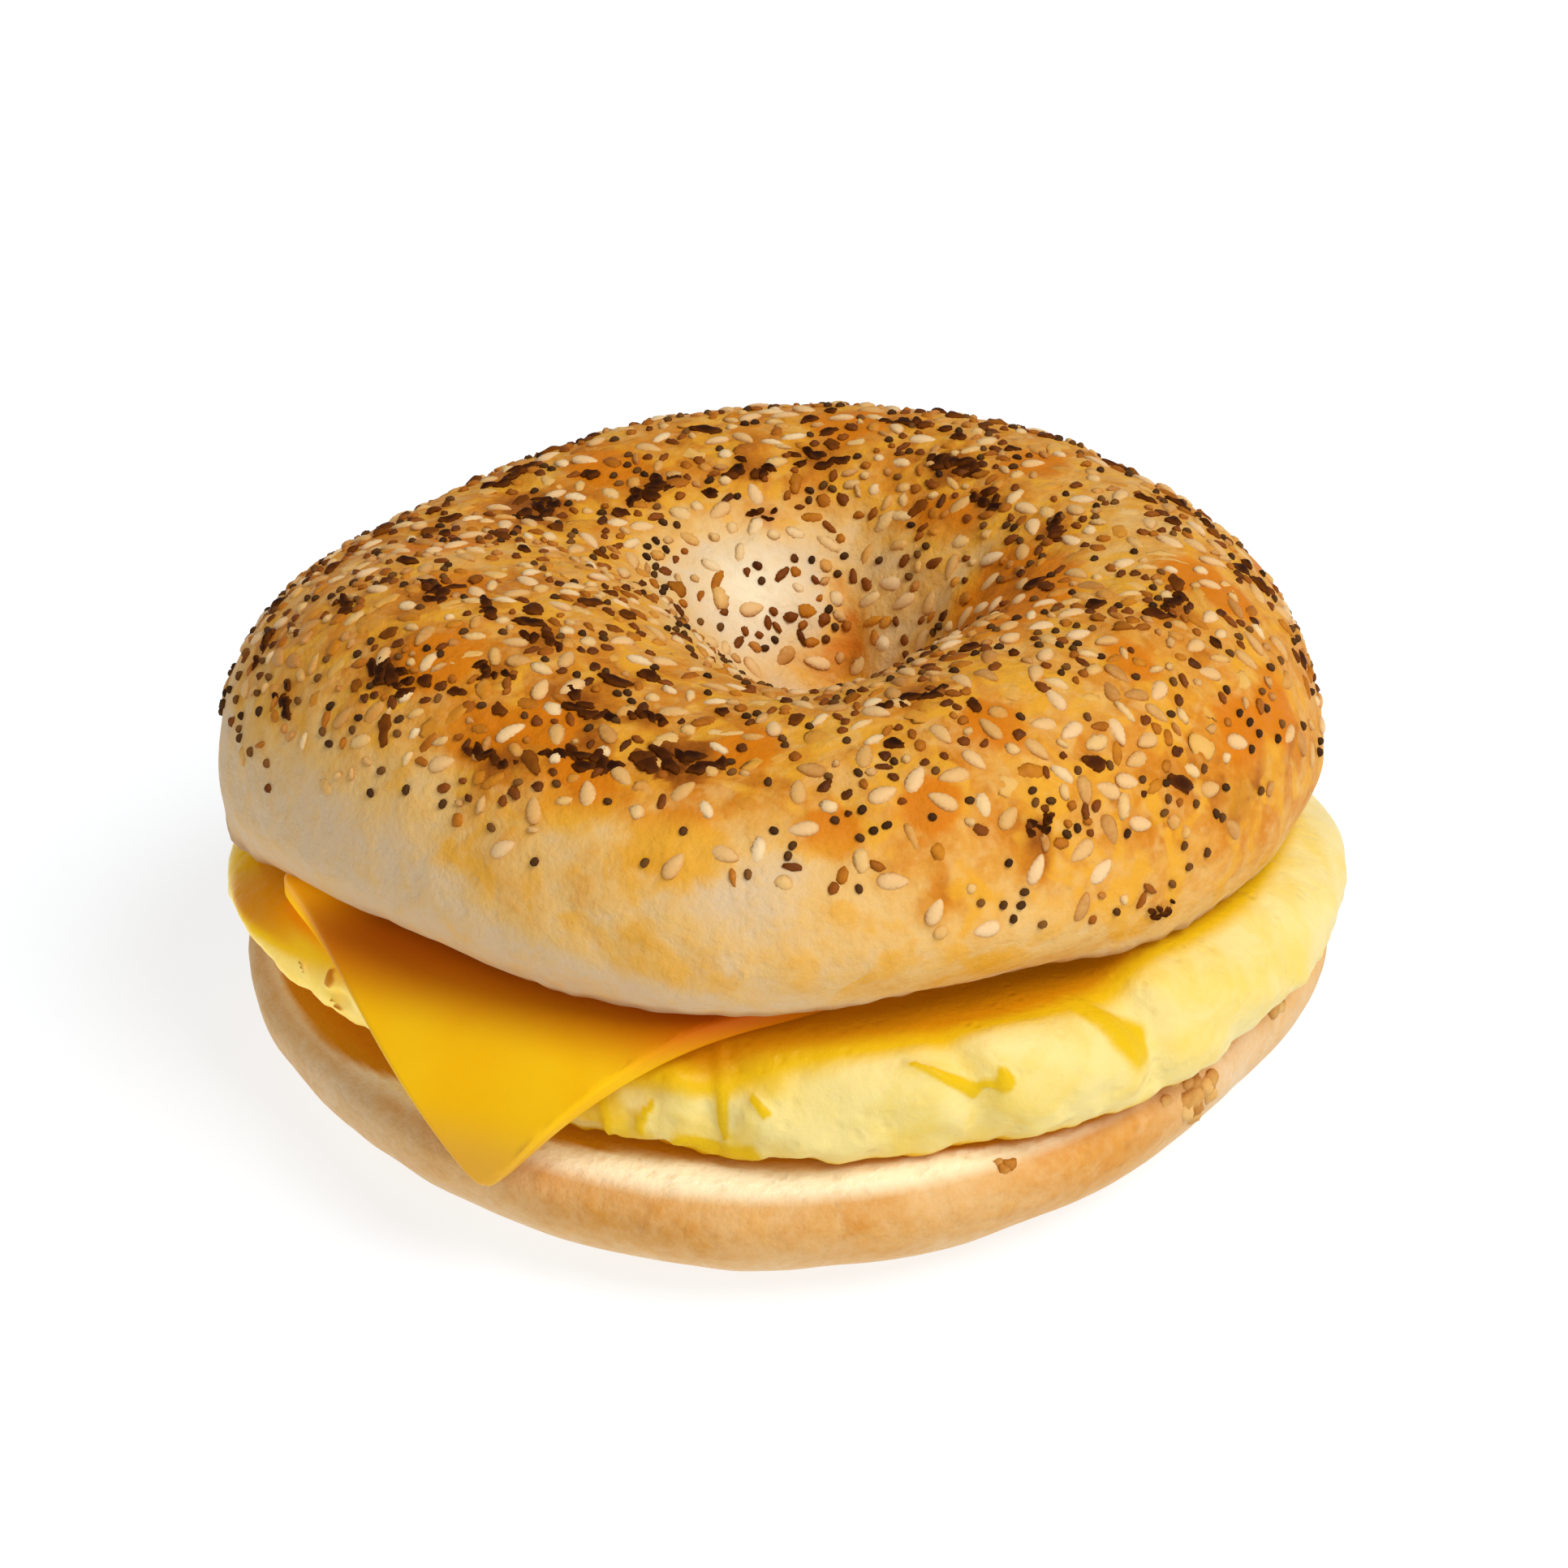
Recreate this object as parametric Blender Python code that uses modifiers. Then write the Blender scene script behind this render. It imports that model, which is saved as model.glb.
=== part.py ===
"""Everything bagel filled with a cooked egg round and a slice of cheese.

The lower half stands on the ground with its cut face up. The egg lies on it, thick at the front
and thin at the back, so the cheese and the upper half lean back a little. One corner of the cheese
hangs over the front left rim. Z is up, the front is -Y, and the origin is the middle of the bottom
of the bounding box. All sizes are in metres and all angles in degrees.
"""

import math
import random

import bmesh
import bpy
import numpy as np
from mathutils import Matrix, Vector

NAME = "filled_everything_bagel"
AXIS = (0.00097, 0.00010)  # where the middle of the food stands from the middle of the bounding box
CLEAR = 0.0003  # gap kept between neighbouring pieces
STEPS = 64  # steps round a turned piece

# Upper half: a ring with a flat cut face, measured from that face before it leans back.
TOP_RADIUS = 0.0511
TOP_HEIGHT = 0.0277
TOP_GIRTH_Z = 0.0074  # height of the widest line over the cut face
TOP_CREST = 0.0321  # radius of the highest line
TOP_THROAT = 0.0046  # radius of the hole where it is narrowest
TOP_UNDERCUT = 0.0044  # how far the cut edge stands inside the widest line
TOP_UNDERCUT_RANGE = (0.0006, 0.0080)
TOP_AT = (-0.0017, 0.0003, 0.0232)
TOP_LEAN = (-6.04, -0.92)  # turned about X, then about Y
TOP_HOLE_OFF = 0.0070  # the hole stands this far to the right of the middle
TOP_HOLE_OFF_FADE = 1.5  # how fast that offset fades towards the rim
TOP_FUNNEL = (2.5, 0.7)  # how late, and how round, the crest falls into the hole
TOP_RADIUS_WAVES = ((2, 0.0075, 76.0), (3, 0.0126, 186.0), (4, 0.0225, -18.0))
TOP_HEIGHT_WAVES = ((2, 0.045, 115.0), (3, 0.016, 255.0), (4, 0.022, 111.0))
TOP_UNDERCUT_WAVES = ((1, 0.39, -18.0), (2, 0.27, 160.0), (3, 0.41, -18.0), (4, 0.67, 118.0))
TOP_SAG = (264.0, 46.0, 0.0046)  # the front crest is lower: angle, width, drop
PINCH = (82.0, 20.0, 0.0030)  # cleft in the far wall of the hole: angle, width, depth
PINCH_SPAN = (0.35, 0.65, 0.80, 1.00)  # shares of the fall where the cleft starts, is full, thins and ends
DIMPLES = (
    (276.0, 0.0175, 0.0115, 0.0018),  # angle, radius, width, depth
    (208.0, 0.0300, 0.0100, 0.0007),
    (318.0, 0.0360, 0.0090, 0.0006),
    (30.0, 0.0340, 0.0110, 0.0008),
)

# Lower half: a ring cut flat on top, round under its outer edge.
HEEL_RADIUS = 0.0514
HEEL_HEIGHT = 0.0126
HEEL_GIRTH_Z = 0.0094
HEEL_BASE = 0.0372  # radius of the flat it stands on
HEEL_HOLE = 0.0062
HEEL_BORE = ((0.0028, 0.0), (0.0006, 0.14), (0.0, 0.52), (0.0010, 1.0))  # beyond the hole, share of height
HEEL_AT = (-0.0011, -0.0004)
HEEL_FALL = 0.0011  # how much the cut face falls off at its rim
HEEL_LIP = ((0.0052, 0.0), (0.0028, 0.35), (0.0009, 1.0))  # inside the rim, share of that fall
HEEL_RADIUS_WAVES = ((2, 0.0132, 121.0), (3, 0.0150, 59.0), (4, 0.0190, 8.0))

# Egg round: rests on the lower half and follows the lean of the upper half.
EGG_RADIUS = 0.0520
EGG_AT = (-0.0004, 0.0)
EGG_SHOULDER = 0.80  # share of the radius where the rounding of the upper edge starts
EGG_FOOT = 0.88  # the same for the lower edge
EGG_BELLY = 0.43  # share of the height where the egg is widest
EGG_FULLNESS = 0.8  # power of the rounding: a lower one is fuller
EGG_BULGES = ((182.0, 16.0, 0.0020), (238.0, 24.0, -0.0030), (270.0, 26.0, -0.0010), (8.0, 26.0, 0.0012))
EGG_LIFT = (203.0, 27.0, 0.0042)  # the left rim lifts off the lower half: angle, width, height
EGG_LIFT_FROM = 0.036
EGG_CREASES = (
    (308.0, 4.0, 2.6, 0.0021),  # angle at the top, turn towards the bottom, width, depth
    (286.0, 5.5, 2.2, 0.0015),
    (261.5, 1.5, 2.4, 0.0017),
    (336.0, -6.0, 3.0, 0.0007),
)
EGG_LUMPS = ((7, 0.0035, 40.0), (11, 0.0045, 205.0), (17, 0.0035, 96.0))
EGG_SWELL = (0.0070, 0.0080)  # the egg rises where no cheese lies, over this distance from its edge

# Cheese: a square sheet bent down over the front left rim.
CHEESE_SIDES = (0.0540, 0.0470)
CHEESE_THICK = 0.0022
CHEESE_AT = (-0.0150, -0.0249)
CHEESE_DRAW = 0.0045  # how far the right-hand side is drawn back under the upper half
CHEESE_TURN = 20.7
CHEESE_BEND_TO = 239.5  # direction of the corner that hangs
CHEESE_BEND_FROM = 0.0396
CHEESE_BEND_RADIUS = 0.0159
CHEESE_BEND_ANGLE = 90.5
CHEESE_CELLS = 20

# Toppings on the upper half: length, width and thickness, then kind, pieces and seed of the spread.
SESAME = (0.0032, 0.0019, 0.0010)
POPPY = (0.0012, 0.0011, 0.0010)
GARLIC = (0.0026, 0.0019, 0.0012)
ONION = (0.0052, 0.0032, 0.0012)
TOPPINGS = ((ONION, 16, 5, "bit"), (GARLIC, 18, 11, "bit"), (SESAME, 76, 3, "sesame"), (POPPY, 8, 8, "bit"))
HEEL_BITS = (
    (318.0, 0.0106, 0.0030),  # angle, height, size
    (341.0, 0.0102, 0.0026),
    (293.0, 0.0104, 0.0019),
    (72.0, 0.0098, 0.0026),
)
TOPPING_SPAN = (0.20, 1.72)  # ways between which the toppings lie
TOPPED_AREA = 0.0125  # surface that the toppings spread over
TOPPING_REACH = 0.62  # share of the mean spacing that pieces of one kind keep
TOPPING_SINK = -0.12  # share of its thickness that a topping's middle stands under the crust
EDGE_CHANCE = 0.25  # how likely a piece is at the lowest way, next to 1 above the band
EDGE_BAND = 0.30
BARE_SIDE = (216.0, 34.0, 0.42)  # the pale flank with hardly a seed: angle, width, share reached


def clear_scene() -> None:
    """Remove every object the file started with."""
    for thing in list(bpy.data.objects):
        bpy.data.objects.remove(thing, do_unlink=True)


def new_collection(name: str) -> bpy.types.Collection:
    """Make a collection inside the scene's own."""
    made = bpy.data.collections.new(name)
    bpy.context.scene.collection.children.link(made)
    return made


def waves(angle, terms):
    """Sum of soft cosine waves round the ring."""
    return sum(share * np.cos(count * angle - math.radians(peak)) for count, share, peak in terms)


def hump(angle, at: float, width: float):
    """One soft hump round the ring, 1 at its middle."""
    off = (np.degrees(angle) - at + 180.0) % 360.0 - 180.0
    return np.exp(-((off / width) ** 2))


def smooth(value):
    """Ease from 0 to 1 with level ends."""
    share = np.clip(value, 0.0, 1.0)
    return share * share * (3.0 - 2.0 * share)


def lean() -> np.ndarray:
    """Turn of the upper half."""
    about_x = Matrix.Rotation(math.radians(TOP_LEAN[0]), 3, "X")
    about_y = Matrix.Rotation(math.radians(TOP_LEAN[1]), 3, "Y")
    return np.array(about_y @ about_x)


def lid(x, y):
    """Height of the upper half's cut face over a point of the plan."""
    across, along, upward = lean()[:, 2]
    return TOP_AT[2] - (across * (x - TOP_AT[0]) + along * (y - TOP_AT[1])) / upward


def top_section(count_out: int, count_in: int, count_flat: int) -> list:
    """Ways round the closed section: 0..1 up the outside, 1..2 into the hole, 2..3 under it."""
    outside = [i / count_out for i in range(count_out)]
    inside = [1.0 + i / count_in for i in range(count_in)]
    flat = [2.0 + i / count_flat for i in range(count_flat)]
    return outside + inside + flat


def top_surface(angle, way):
    """Points of the upper half before it leans.

    Way 0..1 climbs from the cut edge to the crest, 1..2 falls to the throat, 2..3 runs back under it.
    """
    rim = TOP_RADIUS * (1.0 + waves(angle, TOP_RADIUS_WAVES))
    sag_at, sag_wide, sag = TOP_SAG
    height = TOP_HEIGHT * (1.0 + waves(angle, TOP_HEIGHT_WAVES)) - sag * hump(angle, sag_at, sag_wide)
    tuck = np.clip(TOP_UNDERCUT * (1.0 + waves(angle, TOP_UNDERCUT_WAVES)), *TOP_UNDERCUT_RANGE)
    depth = rim - TOP_CREST
    low = np.arccos(1.0 - tuck / depth)
    swing = -low + (math.pi / 2.0 + low) * np.clip(way, 0.0, 1.0)
    radius = TOP_CREST + depth * np.cos(swing)
    upper = TOP_GIRTH_Z + (height - TOP_GIRTH_Z) * np.sin(swing)
    lower = TOP_GIRTH_Z * (1.0 + np.sin(swing) / np.sin(low))
    z = np.where(swing >= 0.0, upper, lower)
    fall = np.clip(way - 1.0, 0.0, 1.0)
    radius = np.where(way > 1.0, TOP_CREST - (TOP_CREST - TOP_THROAT) * fall, radius)
    late, round_off = TOP_FUNNEL
    z = np.where(way > 1.0, height * np.maximum(1.0 - fall**late, 0.0) ** round_off, z)
    pinch_at, pinch_wide, cleft = PINCH
    start, full, thin, end = PINCH_SPAN
    cleft_here = smooth((fall - start) / (full - start)) * smooth((end - fall) / (end - thin))
    z = z - cleft * hump(angle, pinch_at, pinch_wide) * cleft_here
    for at, out, wide, deep in DIMPLES:
        gap = np.hypot(radius * np.cos(angle) - out * math.cos(math.radians(at)),
                       radius * np.sin(angle) - out * math.sin(math.radians(at)))
        z = z - deep * np.exp(-((gap / wide) ** 2)) * (way < 2.0) * smooth(way * 3.0)
    back = np.clip(way - 2.0, 0.0, 1.0)
    edge = TOP_CREST + depth * np.cos(low)
    radius = np.where(way > 2.0, TOP_THROAT + (edge - TOP_THROAT) * back, radius)
    z = np.where(way >= 2.0, 0.0, np.maximum(z, 0.0))
    share = radius / rim
    off = TOP_HOLE_OFF * (1.0 - np.clip(share, 0.0, 1.0)) ** TOP_HOLE_OFF_FADE
    return np.stack([radius * np.cos(angle) + off, radius * np.sin(angle), z], -1)


def stand(points):
    """Lean points of the upper half and set them on the filling."""
    return points @ lean().T + np.array(TOP_AT)


def heel_section() -> list:
    """Closed section of the lower half, down its outside and up through its hole."""
    lip = [(HEEL_RADIUS - inside, HEEL_HEIGHT - share * HEEL_FALL) for inside, share in HEEL_LIP]
    reach = HEEL_RADIUS - HEEL_BASE
    swings = [math.radians(90.0 * i / 7) for i in range(8)]
    wall = [(HEEL_BASE + reach * math.cos(swing), HEEL_GIRTH_Z * (1.0 - math.sin(swing))) for swing in swings]
    bore = [(HEEL_HOLE + beyond, share * HEEL_HEIGHT) for beyond, share in HEEL_BORE]
    under = [((HEEL_BASE + HEEL_HOLE) / 2.0, 0.0)]
    face = [((HEEL_RADIUS + HEEL_HOLE) / 2.0, HEEL_HEIGHT)]
    return lip + wall + under + bore + face


def heel_shape(points):
    """Give the turned lower half its soft outline."""
    radius = np.hypot(points[:, 0], points[:, 1])
    angle = np.arctan2(points[:, 1], points[:, 0])
    share = np.clip(radius / HEEL_RADIUS, 0.0, 1.0)
    stretch = 1.0 + waves(angle, HEEL_RADIUS_WAVES) * share**2
    shaped = points.copy()
    shaped[:, 0] = points[:, 0] * stretch + HEEL_AT[0]
    shaped[:, 1] = points[:, 1] * stretch + HEEL_AT[1]
    return shaped


def egg_section() -> list:
    """Half section of the egg as (share of the radius, share of the height), top to bottom."""
    top = [(EGG_SHOULDER * math.sqrt(i / 7), 1.0) for i in range(7)]
    side = []
    for i in range(7):
        swing = math.radians(90.0 - 15.0 * i)
        share = EGG_SHOULDER + (1.0 - EGG_SHOULDER) * math.cos(swing) ** EGG_FULLNESS
        side.append((share, EGG_BELLY + (1.0 - EGG_BELLY) * math.sin(swing)))
    foot = []
    for i in range(4):
        swing = math.radians(22.5 * (i + 1))
        share = EGG_FOOT + (1.0 - EGG_FOOT) * max(math.cos(swing), 0.0) ** EGG_FULLNESS
        foot.append((share, EGG_BELLY * (1.0 - math.sin(swing))))
    bottom = [(EGG_FOOT * math.sqrt(1.0 - i / 5), 0.0) for i in range(1, 6)]
    return top + side + foot + bottom


def egg_shape(points):
    """Turn the unit egg (radius and height shares) into the egg between both halves."""
    share = np.hypot(points[:, 0], points[:, 1])
    rise = points[:, 2]
    angle = np.arctan2(points[:, 1], points[:, 0])
    rim = EGG_RADIUS + sum(grow * hump(angle, at, width) for at, width, grow in EGG_BULGES)
    edge = smooth((share - 0.80) / 0.14)
    rim = rim * (1.0 + waves(angle + 0.6 * rise, EGG_LUMPS) * edge)
    for at, turn, width, deep in EGG_CREASES:
        rim = rim - deep * hump(angle, at + turn * (1.0 - rise), width) * edge * smooth(rise * 4.0)
    x = share * rim * np.cos(angle) + EGG_AT[0]
    y = share * rim * np.sin(angle) + EGG_AT[1]
    at, width, height = EGG_LIFT
    out = smooth((share * rim - EGG_LIFT_FROM) / (EGG_RADIUS - EGG_LIFT_FROM))
    floor = HEEL_HEIGHT + CLEAR + height * hump(angle, at, width) * out
    roof = lid(x, y) - CHEESE_THICK - 2.2 * CLEAR + (CHEESE_THICK - 0.2 * CLEAR) * swell(x, y)
    return np.stack([x, y, floor + (roof - floor) * rise], -1)


def swell(x, y):
    """How much the egg rises into the space beside the cheese, 0 to 1."""
    turn = math.radians(CHEESE_TURN)
    across = (x - CHEESE_AT[0]) * math.cos(turn) + (y - CHEESE_AT[1]) * math.sin(turn)
    along = (y - CHEESE_AT[1]) * math.cos(turn) - (x - CHEESE_AT[0]) * math.sin(turn)
    along = along - drawn_back(across)
    out = np.maximum(np.abs(across) - CHEESE_SIDES[0] / 2.0, np.abs(along) - CHEESE_SIDES[1] / 2.0)
    return smooth((out - EGG_SWELL[0]) / EGG_SWELL[1])


def drawn_back(across):
    """How far the slice is drawn back under the upper half."""
    return CHEESE_DRAW * smooth(across / (CHEESE_SIDES[0] / 2.0))


def sheet(across, along):
    """Middle surface of the cheese for a point of the flat slice."""
    turn = math.radians(CHEESE_TURN)
    x = CHEESE_AT[0] + across * math.cos(turn) - along * math.sin(turn)
    y = CHEESE_AT[1] + across * math.sin(turn) + along * math.cos(turn)
    way = math.radians(CHEESE_BEND_TO)
    out = x * math.cos(way) + y * math.sin(way)
    side = y * math.cos(way) - x * math.sin(way)
    over = np.maximum(out - CHEESE_BEND_FROM, 0.0)
    arc = np.minimum(over, CHEESE_BEND_RADIUS * math.radians(CHEESE_BEND_ANGLE))
    rest = over - arc
    swing = arc / CHEESE_BEND_RADIUS
    end = math.radians(CHEESE_BEND_ANGLE)
    reach = CHEESE_BEND_FROM + CHEESE_BEND_RADIUS * np.sin(swing) + rest * math.cos(end)
    drop = CHEESE_BEND_RADIUS * (1.0 - np.cos(swing)) + rest * math.sin(end)
    out = np.where(over > 0.0, reach, out)
    x = out * math.cos(way) - side * math.sin(way)
    y = out * math.sin(way) + side * math.cos(way)
    return np.stack([x, y, lid(x, y) - CLEAR - CHEESE_THICK / 2.0 - drop], -1)


def cheese_shape(points):
    """Bend the flat slice, keeping its thickness."""
    step = 0.0002
    across = points[:, 0]
    along = points[:, 1] + drawn_back(across)
    middle = sheet(across, along)
    one = sheet(across + step, along) - sheet(across - step, along)
    two = sheet(across, along + step) - sheet(across, along - step)
    normal = np.cross(one, two)
    normal /= np.linalg.norm(normal, axis=1)[:, None]
    return middle + normal * points[:, 2:3]


def applied(thing: bpy.types.Object) -> None:
    """Turn an object's modifiers into plain mesh."""
    graph = bpy.context.evaluated_depsgraph_get()
    mesh = bpy.data.meshes.new_from_object(thing.evaluated_get(graph))
    mesh.name = thing.name
    thing.modifiers.clear()
    thing.data = mesh


def reshaped(thing: bpy.types.Object, rule) -> None:
    """Move every vertex of an object by a rule on all its points."""
    mesh = thing.data
    flat = np.empty(len(mesh.vertices) * 3)
    mesh.vertices.foreach_get("co", flat)
    mesh.vertices.foreach_set("co", np.ascontiguousarray(rule(flat.reshape(-1, 3))).ravel())
    mesh.update()


def faced_out(thing: bpy.types.Object) -> None:
    """Make the faces of a closed mesh point outwards."""
    shell = bmesh.new()
    shell.from_mesh(thing.data)
    bmesh.ops.recalc_face_normals(shell, faces=shell.faces)
    if shell.calc_volume(signed=True) < 0.0:
        bmesh.ops.reverse_faces(shell, faces=shell.faces)
    shell.to_mesh(thing.data)
    shell.free()


def turned(name: str, section: list, closed: bool, home: bpy.types.Collection) -> bpy.types.Object:
    """Turn a section, given as (radius, height), once round Z."""
    mesh = bpy.data.meshes.new(name)
    count = len(section)
    edges = [(i, i + 1) for i in range(count - 1)]
    if closed:
        edges.append((count - 1, 0))
    mesh.from_pydata([(radius, 0.0, height) for radius, height in section], edges, [])
    thing = bpy.data.objects.new(name, mesh)
    home.objects.link(thing)
    screw = thing.modifiers.new("turn", "SCREW")
    screw.axis = "Z"
    screw.angle = 2.0 * math.pi
    screw.steps = STEPS
    screw.render_steps = STEPS
    screw.use_merge_vertices = True
    screw.merge_threshold = 0.00001
    weld = thing.modifiers.new("weld", "WELD")
    weld.merge_threshold = 0.00001
    applied(thing)
    return thing


def material(name: str, colour: tuple, roughness: float) -> bpy.types.Material:
    """Plain material with one colour."""
    made = bpy.data.materials.new(name)
    made.use_nodes = True
    shader = made.node_tree.nodes["Principled BSDF"]
    shader.inputs["Base Color"].default_value = (*colour, 1.0)
    shader.inputs["Roughness"].default_value = roughness
    shader.inputs["Metallic"].default_value = 0.0
    return made


def dressed(thing: bpy.types.Object, made: bpy.types.Material) -> bpy.types.Object:
    """Give an object one material and set its faces outwards."""
    thing.data.materials.clear()
    thing.data.materials.append(made)
    faced_out(thing)
    return thing


def allowed(angle: float, way: float, pick: random.Random) -> bool:
    """Say whether a topping may lie here: thin near the cut edge and none on the bare flank."""
    at, width, reach = BARE_SIDE
    low = TOPPING_SPAN[0] + (reach - TOPPING_SPAN[0]) * float(hump(math.radians(angle), at, width))
    if way < low:
        return False
    chance = EDGE_CHANCE + (1.0 - EDGE_CHANCE) * float(smooth((way - low) / EDGE_BAND))
    return pick.random() < chance * reach_share(way)


def reach_share(way: float) -> float:
    """Share of the widest ring that the ring at this way has, so the spread is even by area."""
    if way <= 1.0:
        return 1.0 - 0.3 * way
    return 0.7 - 0.62 * (way - 1.0)


def spread(count: int, seed: int, length: float, taken: list) -> list:
    """Even, seeded places on the upper half as (angle, way, spin, scale), clear of those taken."""
    pick = random.Random(seed)
    apart = TOPPING_REACH * math.sqrt(TOPPED_AREA / count)
    places = []
    own = []
    while len(places) < count:
        angle = pick.uniform(0.0, 360.0)
        way = pick.uniform(*TOPPING_SPAN)
        spin = pick.uniform(0.0, 360.0)
        if not allowed(angle, way, pick):
            continue
        apart *= 0.9995
        point = top_surface(np.array([math.radians(angle)]), np.array([way]))[0]
        if any(np.linalg.norm(point - other) < apart for other in own):
            continue
        if any(np.linalg.norm(point - other) < 0.5 * (length + room) for other, room in taken):
            continue
        own.append(point)
        taken.append((point, length))
        places.append((angle, way, spin, 1.10 - 0.25 * len(places) / count))
    return places


def seat(angle: float, way: float, spin: float, sink: float) -> Matrix:
    """Place for a topping: on the surface, sunk a little, turned by its spin."""
    turn = math.radians(angle)
    step = 0.004
    ways = np.array([way, way + step, way])
    turns = np.array([turn, turn, turn + step])
    at, on, beside = stand(top_surface(turns, ways))
    normal = Vector(np.cross(beside - at, on - at)).normalized()
    if normal.z < 0.0 and way > 0.6:
        normal = -normal
    first = Vector(on - at).normalized()
    second = normal.cross(first)
    basis = Matrix((first, second, normal)).transposed()
    spot = Vector(at) - normal * sink
    return Matrix.Translation(spot) @ basis.to_4x4() @ Matrix.Rotation(math.radians(spin), 4, "Z")


def topping(kind: str, size: tuple, place: Matrix, home: bpy.types.Collection) -> None:
    """One low topping: a drop-shaped seed or a rounded bit."""
    shell = bmesh.new()
    if kind == "sesame":
        bmesh.ops.create_uvsphere(shell, u_segments=6, v_segments=4, radius=0.5)
        bmesh.ops.rotate(shell, verts=shell.verts, matrix=Matrix.Rotation(math.radians(90.0), 3, "Y"))
        for corner in shell.verts:
            slim = 1.0 - 0.75 * max(corner.co.x, 0.0)
            corner.co.y *= slim
            corner.co.z *= slim
    else:
        bmesh.ops.create_icosphere(shell, subdivisions=1, radius=0.5)
    bmesh.ops.triangulate(shell, faces=shell.faces)
    bmesh.ops.transform(shell, matrix=place @ Matrix.Diagonal((*size, 1.0)), verts=shell.verts)
    mesh = bpy.data.meshes.new(kind)
    shell.to_mesh(mesh)
    shell.free()
    thing = bpy.data.objects.new(kind, mesh)
    home.objects.link(thing)


def fused(thing: bpy.types.Object, home: bpy.types.Collection) -> None:
    """Join a collection of small pieces to an object, then drop the pieces."""
    join = thing.modifiers.new("toppings", "BOOLEAN")
    join.operation = "UNION"
    join.operand_type = "COLLECTION"
    join.collection = home
    join.solver = "EXACT"
    applied(thing)
    for piece in list(home.objects):
        bpy.data.objects.remove(piece, do_unlink=True)


def build_top(home: bpy.types.Collection, helpers: bpy.types.Collection) -> bpy.types.Object:
    """Upper half with its toppings."""
    ways = top_section(12, 11, 3)
    thing = turned("bagel_top", [(1.0 + way, 0.0) for way in ways], True, home)

    def rule(points):
        radius = np.hypot(points[:, 0], points[:, 1])
        angle = np.arctan2(points[:, 1], points[:, 0])
        return stand(top_surface(angle, radius - 1.0))

    reshaped(thing, rule)
    crust = material("crust_top", (0.62, 0.31, 0.08), 0.55)
    dressed(thing, crust)
    taken = []
    for size, count, seed, kind in TOPPINGS:
        for angle, way, spin, scale in spread(count, seed, size[0], taken):
            grown = tuple(side * scale for side in size)
            topping(kind, grown, seat(angle, way, spin, TOPPING_SINK * size[2]), helpers)
    fused(thing, helpers)
    return dressed(thing, crust)


def build_heel(home: bpy.types.Collection, helpers: bpy.types.Collection) -> bpy.types.Object:
    """Lower half with the few bits that stick to its side."""
    thing = turned("bagel_bottom", heel_section(), True, home)
    reshaped(thing, heel_shape)
    crust = material("crust_bottom", (0.70, 0.42, 0.17), 0.6)
    dressed(thing, crust)
    for angle, height, size in HEEL_BITS:
        turn = math.radians(angle)
        stretch = 1.0 + float(waves(turn, HEEL_RADIUS_WAVES))
        radius = (HEEL_RADIUS - 0.0003) * stretch
        spot = (radius * math.cos(turn) + HEEL_AT[0], radius * math.sin(turn) + HEEL_AT[1], height)
        place = Matrix.Translation(spot) @ Matrix.Rotation(turn, 4, "Z")
        topping("bit", (size * 0.5, size, size * 0.7), place, helpers)
    fused(thing, helpers)
    return dressed(thing, crust)


def build_egg(home: bpy.types.Collection) -> bpy.types.Object:
    """Egg round between both halves."""
    thing = turned("egg_round", egg_section(), False, home)
    reshaped(thing, egg_shape)
    return dressed(thing, material("egg", (0.90, 0.68, 0.22), 0.45))


def build_cheese(home: bpy.types.Collection) -> bpy.types.Object:
    """Cheese slice, bent over the rim of the egg."""
    mesh = bpy.data.meshes.new("cheese_slice")
    grid = bmesh.new()
    bmesh.ops.create_grid(grid, x_segments=CHEESE_CELLS, y_segments=CHEESE_CELLS, size=0.5)
    bmesh.ops.scale(grid, vec=(*CHEESE_SIDES, 1.0), verts=grid.verts)
    grid.to_mesh(mesh)
    grid.free()
    thing = bpy.data.objects.new("cheese_slice", mesh)
    home.objects.link(thing)
    thick = thing.modifiers.new("thickness", "SOLIDIFY")
    thick.thickness = CHEESE_THICK
    thick.offset = 0.0
    applied(thing)
    reshaped(thing, cheese_shape)
    return dressed(thing, material("cheese", (0.86, 0.45, 0.01), 0.38))


def centred(things: list) -> None:
    """Move the pieces so that the frame's origin is under the middle of the food."""
    for thing in things:
        reshaped(thing, lambda points: points + np.array([AXIS[0], AXIS[1], 0.0]))


def main() -> None:
    """Build the food piece by piece, from the bottom up."""
    clear_scene()
    home = new_collection(NAME)
    helpers = new_collection("helpers")
    pieces = [
        build_heel(home, helpers),
        build_egg(home),
        build_cheese(home),
        build_top(home, helpers),
    ]
    centred(pieces)


main()
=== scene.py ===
"""Looks of an everything bagel that is filled with a cooked egg round and a slice of cheese.

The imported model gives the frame. Each of its four pieces is replaced by a finer one of the same form,
worked out from the same sizes, and the upper half gets its seeds, onion and garlic as pieces of their
own. Lengths are in metres, angles in degrees unless a name says otherwise, and the front is -Y.
"""

from __future__ import annotations

import logging
import math
import random
from dataclasses import dataclass, replace
from enum import Enum
from itertools import product
from typing import ClassVar

import bmesh
import bpy
import numpy as np
from mathutils import Matrix, Vector, kdtree, noise

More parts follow.
